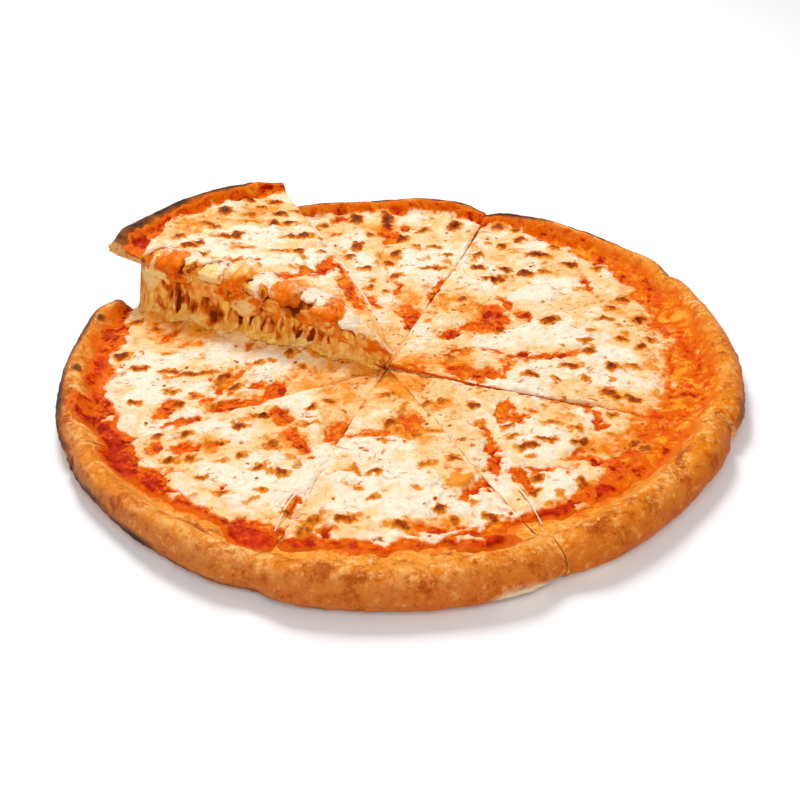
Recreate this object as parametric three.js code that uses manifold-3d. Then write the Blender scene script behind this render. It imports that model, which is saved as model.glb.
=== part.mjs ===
// A 300 mm cheese and tomato pizza with a raised crust, cut in eight. Seven slices lie flat. The eighth has
// been lifted by its crust: its tip droops back into the middle, and melted cheese hangs from its cut sides.
// Millimetres, +Z up. Everything is worked out from the point where the cuts cross, and the whole is then
// moved so that the middle of its base is the origin.
import * as THREE from 'three';
import { mergeVertices } from 'three/addons/utils/BufferGeometryUtils.js';
import Module from 'manifold-3d';

const wasm = await Module();
wasm.setup();

// ---- Driving dimensions ----------------------------------------------------------------------------------
const pizzaRadius = 150;
const pizzaMiddle = { x: 2.8, y: 7.4 }; // seen from where the cuts cross
const kerf = 0.7; // the gap that the cutter leaves between two slices
const layerGap = 0.3;
const doughThickness = 5;
const sauceThickness = 1.2;
const cheeseThickness = 2.7;
const thinnestCheese = 0.7;
const edgeHeight = 6.5; // the crust's widest line above the table
const footRadius = 7; // the rounding under the crust's outer edge
const crestShare = 0.42; // the crest's place in the rim, from its outer edge
const crustBumps = { height: 0.7, perTurn: 14, start: 40 };
const cutPress = { depth: 2.2, width: 7 }; // how far the cutter pressed the rim down, and how wide
const cornerRound = { depth: 2.5, width: 9 }; // how far a slice's outer corner is rounded off
const sauceBorder = { width: 4, thinTo: 0.5 };
const cheeseRelief = 0.8;
const meltedEdge = { drop: 1.2, width: 4 }; // cheese thins towards a cut and its own border
const tipCurlLength = 45;

// Each cut, by its direction, with the rim's width and height there and how far the cheese stops short of
// the outer edge.
const cuts = [
  { angle: 250, rimWidth: 21, rimHeight: 16, cheeseInset: 33 },
  { angle: 297, rimWidth: 24, rimHeight: 16.5, cheeseInset: 35 },
  { angle: 342, rimWidth: 24, rimHeight: 16, cheeseInset: 34 },
  { angle: 389, rimWidth: 16, rimHeight: 15, cheeseInset: 25 },
  { angle: 430, rimWidth: 12, rimHeight: 14.5, cheeseInset: 18 },
  { angle: 474, rimWidth: 12, rimHeight: 13.5, cheeseInset: 17 },
  { angle: 516.5, rimWidth: 14, rimHeight: 12.5, cheeseInset: 20 },
  { angle: 566, rimWidth: 19, rimHeight: 14.5, cheeseInset: 27 },
  { angle: 610, rimWidth: 21, rimHeight: 16, cheeseInset: 33 },
];

// The slices between those cuts. reach is how far the outer edge stands off the true circle at the first
// cut, half way and at the last cut. tipRise is how far the tip has curled up off the table. Each bare patch
// is a hole in the cheese that shows the sauce: its middle from where the cuts cross, its length, its width
// and the way its length points.
const slices = [
  {
    name: 'front',
    reach: [1.5, 0.2, -1.5],
    tipRise: 0.5,
    barePatches: [
      { x: 11, y: -41, length: 12, width: 6, turn: 100 },
      { x: 30, y: -79, length: 14, width: 9, turn: 45 },
    ],
  },
  {
    name: 'front_right',
    reach: [-0.8, -2.2, 0.6],
    tipRise: 0,
    barePatches: [
      { x: 49, y: -32, length: 16, width: 8, turn: 70 },
      { x: 87, y: -38, length: 18, width: 4, turn: 100 },
    ],
  },
  {
    name: 'right',
    reach: [2.5, 3, 5],
    tipRise: 3.5,
    barePatches: [
      { x: 40, y: -6, length: 26, width: 9, turn: -10 },
      { x: 76, y: 10, length: 18, width: 4, turn: 18 },
    ],
  },
  {
    name: 'back_right',
    reach: [6.5, 1.8, -0.5],
    tipRise: 1,
    barePatches: [
      { x: 50, y: 47, length: 28, width: 13, turn: 100 },
      { x: 99, y: 75, length: 14, width: 5, turn: 110 },
    ],
  },
  {
    name: 'back',
    reach: [2.5, 3.2, 3],
    tipRise: 0,
    barePatches: [
      { x: 11, y: 45, length: 24, width: 13, turn: 100 },
      { x: 0, y: 130, length: 24, width: 8, turn: 95 },
      { x: 25, y: 71, length: 17, width: 5, turn: 75 },
    ],
  },
  {
    name: 'lifted',
    reach: [0, 0.5, -0.5],
    tipRise: 0,
    barePatches: [
      { x: -34, y: 47, length: 18, width: 7, turn: 160 },
      { x: -19, y: 40, length: 20, width: 5, turn: 115 },
    ],
  },
  {
    name: 'left',
    reach: [-3.5, -4.9, -1.5],
    tipRise: 0,
    barePatches: [
      { x: -63, y: -25, length: 28, width: 13, turn: 12 },
      { x: -92, y: -29, length: 12, width: 8, turn: 80 },
      { x: -100, y: 28, length: 9, width: 5, turn: 75 },
    ],
  },
  {
    name: 'front_left',
    reach: [-0.6, -1.3, 1.4],
    tipRise: 0,
    barePatches: [
      { x: -92, y: -56, length: 9, width: 6, turn: 60 },
      { x: -36, y: -50, length: 16, width: 6, turn: 130 },
      { x: -19, y: -48, length: 18, width: 7, turn: 72 },
    ],
  },
];

// The lifted slice slopes up from its tip, ever less steeply, and sags a little under the weight of its
// crust. It is rolled and turned a few degrees as well.
const lift = { tipRise: 9, slope: 38, fade: 26, sag: 0.5, roll: 3.2, turn: -1.7 };

// The curtains of melted cheese, from the lifted slice's cut sides down to the slices beside it. from and to
// are distances along the cut, and spread is how far past the cut the foot lands.
const curtains = [
  {
    name: 'cheese_pull_left',
    cut: 516.5,
    side: 1,
    from: 8,
    to: 127,
    spread: 2.6,
    strands: 9,
    columns: 28,
    rows: 6,
  },
  {
    name: 'cheese_pull_back',
    cut: 474,
    side: -1,
    from: 22,
    to: 112,
    spread: 4.6,
    strands: 6,
    columns: 18,
    rows: 4,
  },
];

// Every curtain's sheet: the share of it that clings to the slice's side, in soft lumps, and below that the
// strands, their thickness, and how far up the arch between two of them reaches.
const sheet = {
  clingShare: 0.45,
  offFace: 0.5,
  aboveNeighbour: 0.8,
  lumps: { thinnest: 1.1, swell: 1.3 },
  strand: { thinnest: 0.7, swell: 1.3 },
  archShare: 0.12,
  endShare: 0.08,
};

// Distances from the tip at which every layer has a ring of vertices, so that layers bend alike. Where a
// slice lies flat, its dough and sauce need only the first and the last.
const sharedRings = [0, 10, 20, 31, 43, 57, 73, 90, 105];
const angularCells = { dough: 8, sauce: 6, cheese: 10 };
const rimStations = [1, 0.8, 0.6, 0.42, 0.26, 0.12, 0.03, 0]; // shares of the rim's width, from its foot out

const colours = { dough: 0xd08a45, sauce: 0xb83a12, cheese: 0xf6dfb4, pull: 0xe8b765 };
const roughnesses = { dough: 0.75, sauce: 0.35, cheese: 0.4, pull: 0.35 };

// ---- Small helpers ---------------------------------------------------------------------------------------
const radians = THREE.MathUtils.degToRad;
const mix = THREE.MathUtils.lerp;
const smooth = THREE.MathUtils.smoothstep;
const bell = (distance, width) => Math.exp(-((distance / width) ** 2));
const point = (x, y, z) => new THREE.Vector3(x, y, z);
const upwards = point(0, 0, 1);
const polar = (distance, angle, z) => point(distance, 0, z).applyAxisAngle(upwards, radians(angle));

// The parabola through three values, at 0, one half and 1.
function throughThree([first, half, last], t) {
  return first * (1 - t) * (1 - 2 * t) + half * 4 * t * (1 - t) + last * t * (2 * t - 1);
}

// Gentle unevenness between about -1 and 1, over a few centimetres.
function unevenness(x, y) {
  const broad = Math.sin(0.11 * x + 0.05 * y + 1.3) * Math.cos(0.07 * x - 0.12 * y);
  const fine = Math.sin(0.23 * x - 0.19 * y + 0.6) * Math.sin(0.16 * x + 0.27 * y + 2.1);
  return 0.6 * broad + 0.4 * fine;
}

// ---- The pizza's outline and its rim ---------------------------------------------------------------------
function circleReach(angle) {
  const direction = polar(1, angle, 0);
  const along = pizzaMiddle.x * direction.x + pizzaMiddle.y * direction.y;
  const aside = pizzaMiddle.x * direction.y - pizzaMiddle.y * direction.x;
  return along + Math.sqrt(pizzaRadius ** 2 - aside ** 2);
}

// A slice with the cuts on both sides of it. Its tip stands off the crossing by half a kerf from each.
function wedgeOf(index) {
  const [first, last] = [cuts[index], cuts[index + 1]];
  const halfAngle = (last.angle - first.angle) / 2;
  const middleAngle = first.angle + halfAngle;
  const tip = polar(kerf / 2 / Math.sin(radians(halfAngle)), middleAngle, 0);
  return { ...slices[index], first, last, middleAngle, tip };
}

// Across a slice, t runs from 0 at its first cut to 1 at its last.
const between = (wedge, key, t) => mix(wedge.first[key], wedge.last[key], t);
const angleAt = (wedge, t) => between(wedge, 'angle', t);
const fromCut = (wedge, t, distance) =>
  Math.min(t, 1 - t) * radians(wedge.last.angle - wedge.first.angle) * distance;

function outerReach(wedge, t) {
  const reach = circleReach(angleAt(wedge, t)) + throughThree(wedge.reach, t);
  return reach - cornerRound.depth * bell(fromCut(wedge, t, reach), cornerRound.width);
}

function rimHeight(wedge, t, reach) {
  const bumps = Math.sin(radians(angleAt(wedge, t) * crustBumps.perTurn + crustBumps.start));
  const pressed = cutPress.depth * bell(fromCut(wedge, t, reach), cutPress.width);
  return between(wedge, 'rimHeight', t) + crustBumps.height * bumps - pressed;
}

// The dough's upper side at a distance in from the outer edge: a rounded shoulder up to the crest, then an
// eased slope down to the base.
function doughTop(inset, width, height) {
  const crest = crestShare * width;
  if (inset < crest) return edgeHeight + (height - edgeHeight) * Math.sqrt(1 - (1 - inset / crest) ** 2);
  if (inset >= width) return doughThickness;
  const fall = (inset - crest) / (width - crest);
  return mix(doughThickness, height, 0.5 + 0.5 * Math.cos(Math.PI * fall));
}

function doughBottom(inset) {
  return inset < footRadius ? edgeHeight * (1 - Math.sqrt(1 - (1 - inset / footRadius) ** 2)) : 0;
}

// ---- Solids from grids of points -------------------------------------------------------------------------
// A closed slab between two grids of points, top[i][j] and bottom[i][j], where i runs across and j runs out.
// Corners that coincide, as at a slice's tip, give no triangle.
function slab(top, bottom) {
  const positions = [];
  const triangle = (...corners) => {
    const [a, b, c] = corners;
    const apart = Math.min(a.distanceTo(b), b.distanceTo(c), c.distanceTo(a));
    if (apart > 1e-6) corners.forEach((corner) => positions.push(corner.x, corner.y, corner.z));
  };
  const quad = (a, b, c, d) => {
    triangle(a, b, c);
    triangle(a, c, d);
  };
  const lastI = top.length - 1;
  const lastJ = top[0].length - 1;
  for (let i = 0; i < lastI; i++) {
    for (let j = 0; j < lastJ; j++) {
      quad(top[i][j], top[i][j + 1], top[i + 1][j + 1], top[i + 1][j]);
      quad(bottom[i][j], bottom[i + 1][j], bottom[i + 1][j + 1], bottom[i][j + 1]);
    }
    quad(bottom[i][lastJ], bottom[i + 1][lastJ], top[i + 1][lastJ], top[i][lastJ]);
    quad(bottom[i + 1][0], bottom[i][0], top[i][0], top[i + 1][0]);
  }
  for (let j = 0; j < lastJ; j++) {
    quad(bottom[0][j], bottom[0][j + 1], top[0][j + 1], top[0][j]);
    quad(bottom[lastI][j + 1], bottom[lastI][j], top[lastI][j], top[lastI][j + 1]);
  }
  const geometry = new THREE.BufferGeometry();
  geometry.setAttribute('position', new THREE.Float32BufferAttribute(positions, 3));
  return geometry;
}

// One layer of a slice. ringsAt gives its distances from the tip at t, and heightsAt gives [bottom, top].
function layer(wedge, cells, ringsAt, heightsAt) {
  const columns = Array.from({ length: cells + 1 }, (_, i) => {
    const even = i / cells;
    const t = mix(even, 0.5 - 0.5 * Math.cos(Math.PI * even), 0.6); // closer together beside the cuts
    const reach = outerReach(wedge, t);
    const place = (distance, side) =>
      polar(distance, angleAt(wedge, t), heightsAt(t, distance, reach)[side]).add(wedge.tip);
    return [0, 1].map((side) => ringsAt(t, reach).map((distance) => place(distance, side)));
  });
  return slab(columns.map(([, top]) => top), columns.map(([bottom]) => bottom));
}

// ---- The three layers ------------------------------------------------------------------------------------
const liesFlat = ({ name, tipRise }) => name !== 'lifted' && tipRise === 0;
const innerRings = (wedge) => (liesFlat(wedge) ? [sharedRings[0], sharedRings.at(-1)] : sharedRings);

function doughLayer(wedge) {
  const rings = (t, reach) => {
    const width = between(wedge, 'rimWidth', t);
    return [...innerRings(wedge), ...rimStations.map((share) => reach - share * width)];
  };
  const heights = (t, distance, reach) => {
    const inset = reach - distance;
    const top = doughTop(inset, between(wedge, 'rimWidth', t), rimHeight(wedge, t, reach));
    return [doughBottom(inset), top];
  };
  return layer(wedge, angularCells.dough, rings, heights);
}

function sauceLayer(wedge) {
  const bottom = doughThickness + layerGap;
  const border = (t, reach) => reach - between(wedge, 'rimWidth', t) - layerGap;
  const rings = (t, reach) => [...innerRings(wedge), border(t, reach) - sauceBorder.width, border(t, reach)];
  const heights = (t, distance, reach) => {
    const atBorder = distance > border(t, reach) - sauceBorder.width / 2;
    return [bottom, bottom + sauceThickness * (atBorder ? sauceBorder.thinTo : 1)];
  };
  return layer(wedge, angularCells.sauce, rings, heights);
}

function cheeseReach(wedge, t, reach) {
  const angle = radians(angleAt(wedge, t));
  const wobble = 2.2 * Math.sin(13 * angle + 0.7) + 1.6 * Math.sin(29 * angle + 2);
  return reach - between(wedge, 'cheeseInset', t) + wobble;
}

function cheeseLayer(wedge) {
  const bottom = doughThickness + sauceThickness + 2 * layerGap;
  const rings = (t, reach) => {
    const edge = cheeseReach(wedge, t, reach) - meltedEdge.width;
    return [...sharedRings.slice(0, -1), mix(sharedRings.at(-2), edge, 0.5), edge, edge + meltedEdge.width];
  };
  const heights = (t, distance, reach) => {
    const place = polar(distance, angleAt(wedge, t), 0);
    const toBorder = cheeseReach(wedge, t, reach) - distance;
    const nearness = bell(fromCut(wedge, t, distance), meltedEdge.width) + bell(toBorder, meltedEdge.width);
    const relief = cheeseRelief * unevenness(place.x, place.y);
    return [bottom, bottom + Math.max(cheeseThickness + relief - meltedEdge.drop * nearness, thinnestCheese)];
  };
  return layer(wedge, angularCells.cheese, rings, heights);
}

// ---- Bare patches, cut through the cheese ----------------------------------------------------------------
function solidOf(geometry) {
  const bare = geometry.clone();
  bare.deleteAttribute('normal');
  bare.deleteAttribute('uv');
  const merged = mergeVertices(bare, 1e-4);
  const vertProperties = merged.getAttribute('position').array;
  const triVerts = new Uint32Array(merged.index.array);
  return new wasm.Manifold(new wasm.Mesh({ numProp: 3, vertProperties, triVerts }));
}

function geometryOf(solid) {
  const mesh = solid.getMesh();
  const geometry = new THREE.BufferGeometry();
  geometry.setAttribute('position', new THREE.Float32BufferAttribute(mesh.vertProperties, 3));
  geometry.setIndex(new THREE.BufferAttribute(mesh.triVerts, 1));
  return geometry;
}

// An upright prism on an uneven oval, tall enough to pass through the cheese.
function patchPrism({ x, y, length, width, turn }) {
  const corners = 12;
  const outline = Array.from({ length: corners }, (_, i) => {
    const angle = (2 * Math.PI * i) / corners;
    const swell = 1 + 0.16 * Math.sin(3 * angle + x) + 0.12 * Math.cos(2 * angle + y);
    return new THREE.Vector2((length / 2) * swell * Math.cos(angle), (width / 2) * swell * Math.sin(angle));
  });
  const depth = 2 * (sauceThickness + cheeseThickness + cheeseRelief);
  const prism = new THREE.ExtrudeGeometry(new THREE.Shape(outline), { depth, bevelEnabled: false });
  return prism.rotateZ(radians(turn)).translate(x, y, doughThickness);
}

function withBarePatches(cheese, patches) {
  const prisms = patches.map((patch) => solidOf(patchPrism(patch)));
  return geometryOf(prisms.reduce((solid, prism) => solid.subtract(prism), solidOf(cheese)));
}

// ---- Slices that leave the table -------------------------------------------------------------------------
function slopeAt(s) {
  return radians(lift.slope * Math.exp(-Math.max(s, 0) / lift.fade) - (lift.sag * s) / pizzaRadius);
}

// Where the lifted slice's underside runs: how far out and how high it is at a distance s from its tip.
function liftedLine(s) {
  const steps = 40;
  const line = { out: 0, up: lift.tipRise };
  for (let k = 0; k < steps; k++) {
    const slope = slopeAt(((k + 0.5) / steps) * s);
    line.out += (Math.cos(slope) * s) / steps;
    line.up += (Math.sin(slope) * s) / steps;
  }
  return line;
}

// Takes a point of the flat slice to its place in the lifted one.
function lifted(place, { middleAngle }) {
  const own = place.clone().applyAxisAngle(upwards, -radians(middleAngle));
  const { out, up } = liftedLine(own.x);
  const slope = slopeAt(own.x);
  const raised = point(out - own.z * Math.sin(slope), own.y, own.z * Math.cos(slope));
  raised.applyAxisAngle(point(1, 0, 0), radians(lift.roll));
  raised.z += up;
  return raised.applyAxisAngle(upwards, radians(middleAngle + lift.turn));
}

// Takes a point of a slice that lies on the table to its place, with the tip curled up.
function curled(place, { middleAngle, tipRise }) {
  const outwards = place.dot(polar(1, middleAngle, 0));
  return point(place.x, place.y, place.z + tipRise * bell(outwards, tipCurlLength));
}

function moveVertices(geometry, move) {
  const places = geometry.getAttribute('position');
  const place = new THREE.Vector3();
  for (let i = 0; i < places.count; i++) {
    place.fromBufferAttribute(places, i);
    places.setXYZ(i, ...move(place).toArray());
  }
  return geometry;
}

// ---- The curtains of melted cheese -----------------------------------------------------------------------
// A corrugated sheet. Its upper part clings to the lifted slice's cut side, and its lower part hangs down to
// just above the slice beside it.
function curtain({ cut, side, from, to, spread, strands, columns, rows }, wedge) {
  const sliceTop = doughThickness + sauceThickness + cheeseThickness;
  const outwards = polar(1, cut + side * 90, 0); // away from the lifted slice, across the cut
  const outwardsLifted = outwards.clone().applyAxisAngle(upwards, radians(lift.turn));
  const [inner, outer] = [[], []];
  for (let i = 0; i <= columns; i++) {
    const u = i / columns;
    const distance = mix(from, to, u);
    const onFace = (z) =>
      lifted(polar(distance, cut, z), wedge).addScaledVector(outwardsLifted, sheet.offFace);
    const foot = polar(distance, cut, sliceTop + sheet.aboveNeighbour).addScaledVector(outwards, spread);
    const leg = 0.5 + 0.5 * Math.cos(2 * Math.PI * strands * u + 0.8 * Math.sin(7 * u));
    const arch = (1 - leg) * sheet.archShare;
    const strand = sheet.strand.thinnest + sheet.strand.swell * leg;
    const ends = mix(0.5, 1, Math.min(smooth(u, 0, sheet.endShare), smooth(1 - u, 0, sheet.endShare)));
    const [innerColumn, outerColumn] = [[], []];
    for (let j = 0; j <= rows; j++) {
      const v = j / rows;
      const hang = Math.min(v / (1 - sheet.clingShare), 1); // 0 at the foot and 1 where the sheet clings
      const cling = Math.max((v - 1) / sheet.clingShare + 1, 0); // 1 at the slice's top
      const hangingFrom = onFace(sheet.offFace);
      const place = hang < 1 ? foot.clone().lerp(hangingFrom, mix(arch, 1, hang)) : onFace(sliceTop * cling);
      const lump = sheet.lumps.thinnest + sheet.lumps.swell * Math.sin(5 * cling + 9 * u) ** 2;
      const thickness = mix(strand, lump, smooth(v, 0.3, 0.8)) * ends * (j === rows ? 0.5 : 1);
      innerColumn.push(place);
      outerColumn.push(place.clone().addScaledVector(outwardsLifted, thickness));
    }
    inner.push(innerColumn);
    outer.push(outerColumn);
  }
  return side > 0 ? slab(outer, inner) : slab(inner, outer);
}

// ---- Assembly --------------------------------------------------------------------------------------------
function named(name, kind, geometry) {
  geometry.computeVertexNormals();
  const look = { color: colours[kind], roughness: roughnesses[kind], metalness: 0 };
  const mesh = new THREE.Mesh(geometry, new THREE.MeshStandardMaterial(look));
  mesh.name = name;
  return mesh;
}

const pizza = new THREE.Group();
slices.forEach((slice, index) => {
  const wedge = wedgeOf(index);
  const move = slice.name === 'lifted' ? lifted : curled;
  const layers = {
    dough: doughLayer(wedge),
    sauce: sauceLayer(wedge),
    cheese: withBarePatches(cheeseLayer(wedge), slice.barePatches),
  };
  for (const [kind, geometry] of Object.entries(layers)) {
    moveVertices(geometry, (place) => move(place, wedge));
    pizza.add(named(`${kind}_${slice.name}`, kind, geometry));
  }
});
const liftedWedge = wedgeOf(slices.findIndex(({ name }) => name === 'lifted'));
curtains.forEach((hanging) => pizza.add(named(hanging.name, 'pull', curtain(hanging, liftedWedge))));

const box = new THREE.Box3().setFromObject(pizza, true);
const centre = box.getCenter(new THREE.Vector3());
pizza.position.set(-centre.x, -centre.y, -box.min.z);

const part = new THREE.Group();
part.add(pizza);
export default part;
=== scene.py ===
import math
import bpy
import numpy as np
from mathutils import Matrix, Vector


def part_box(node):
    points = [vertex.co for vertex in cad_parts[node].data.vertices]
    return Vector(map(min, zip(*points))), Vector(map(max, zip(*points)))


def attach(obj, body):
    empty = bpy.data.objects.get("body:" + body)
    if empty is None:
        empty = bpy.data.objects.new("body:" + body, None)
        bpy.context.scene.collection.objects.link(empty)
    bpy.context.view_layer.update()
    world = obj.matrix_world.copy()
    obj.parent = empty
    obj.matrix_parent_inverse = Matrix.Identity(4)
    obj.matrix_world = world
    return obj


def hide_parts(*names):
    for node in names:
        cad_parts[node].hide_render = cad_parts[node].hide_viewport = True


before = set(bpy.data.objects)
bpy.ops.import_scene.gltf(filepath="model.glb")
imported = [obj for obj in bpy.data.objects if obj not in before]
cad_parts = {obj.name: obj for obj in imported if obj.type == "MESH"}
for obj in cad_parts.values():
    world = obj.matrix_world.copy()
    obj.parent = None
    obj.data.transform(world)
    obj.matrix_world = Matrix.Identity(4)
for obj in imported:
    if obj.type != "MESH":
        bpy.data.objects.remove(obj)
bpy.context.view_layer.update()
print("frame loaded:", len(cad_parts), "nodes")

# the whole pizza, in millimetres from the point where the cuts cross;
# x and y of anything on the toppings are measured from the middle of the round, which is "middle" from the crossing
pizza = {
    "radius": 150.0,
    "middle": (2.8, 7.4),
    "kerf": 0.7,
    "baseThickness": 5.0,
    "layerGap": 0.3,
    "edgeHeight": 6.5,
    "footRadius": 7.0,
    "crestShare": 0.42,
    "bumpHeight": 0.7,
    "bumpsPerTurn": 14,
    "bumpStart": 40,
    "cutPress": (2.2, 7.0),
    "cornerRound": (2.5, 9.0),
    "tipCurlLength": 45.0,
}

# every cut: its direction, the rim's width and height there, how far cheese and sauce stop short of the edge,
# how orange the bare ring is, over what width the cheese thins out and how tanned the crust is;
# wander is how far the cut strays to its left at distances from the tip, opening is how wide it gapes there
cuts = [
    {"angle": 250, "rimWidth": 21, "rimHeight": 16, "cheese": 30.5, "sauce": 28,
     "mellow": 0.0, "feather": 3, "tan": 0.5,
     "wander": ((0, 0), (50, -1), (90, 1.2), (150, 0)),
     "opening": ((0, -0.5), (36, -0.55), (46, 0.5), (56, -0.58), (108, -0.58), (114, 0.1), (120, -0.5), (150, -0.6))},
    {"angle": 297, "rimWidth": 24, "rimHeight": 16.5, "cheese": 32, "sauce": 28.5,
     "mellow": 0.15, "feather": 4, "tan": 0.2,
     "wander": ((0, 0), (45, 0.8), (80, -0.6), (150, 0)),
     "opening": ((0, -0.5), (60, -0.58), (108, -0.58), (121, 0.3), (128, -0.3), (150, -0.6))},
    {"angle": 342, "rimWidth": 24, "rimHeight": 16, "cheese": 33, "sauce": 15,
     "mellow": 0.95, "feather": 13, "tan": 0.0,
     "wander": ((0, 0), (40, -0.8), (85, 1.4), (120, 0), (150, 0)),
     "opening": ((0, -0.3), (30, 0.1), (55, -0.55), (110, -0.6), (150, -0.6))},
    {"angle": 389, "rimWidth": 16, "rimHeight": 15, "cheese": 23, "sauce": 11,
     "mellow": 0.75, "feather": 8, "tan": 0.1,
     "wander": ((0, 0), (20, 2.2), (50, 2.0), (66, 0.4), (98, 2.4), (120, 0.2), (150, -1)),
     "opening": ((0, -0.3), (40, -0.2), (60, -0.58), (110, -0.6), (150, -0.6))},
    {"angle": 430, "rimWidth": 12, "rimHeight": 14.5, "cheese": 9, "sauce": 6,
     "mellow": 0.75, "feather": 5, "tan": 0.4,
     "wander": ((0, 0), (60, 1.0), (110, -1.0), (150, 0)),
     "opening": ((0, -0.5), (56, -0.58), (66, 0.5), (76, -0.55), (124, -0.4), (133, 0.7), (150, -0.4))},
    {"angle": 474, "rimWidth": 12, "rimHeight": 13.5, "cheese": 8.2, "sauce": 5.5,
     "mellow": 0.75, "feather": 5, "tan": 0.6,
     "wander": ((0, 0), (150, 0)),
     "opening": ((0, 0.2), (150, 0.3))},
    {"angle": 516.5, "rimWidth": 14, "rimHeight": 12.5, "cheese": 16, "sauce": 9,
     "mellow": 0.4, "feather": 5, "tan": 0.95,
     "wander": ((0, 0), (150, 0)),
     "opening": ((0, 0.2), (150, 0.3))},
    {"angle": 566, "rimWidth": 19, "rimHeight": 14.5, "cheese": 25, "sauce": 15,
     "mellow": 0.3, "feather": 4, "tan": 0.75,
     "wander": ((0, 0), (50, -1.2), (90, 0.6), (150, 0)),
     "opening": ((0, -0.5), (70, -0.58), (120, -0.58), (150, -0.6))},
]
cuts.append({**cuts[0], "angle": 610})

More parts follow.
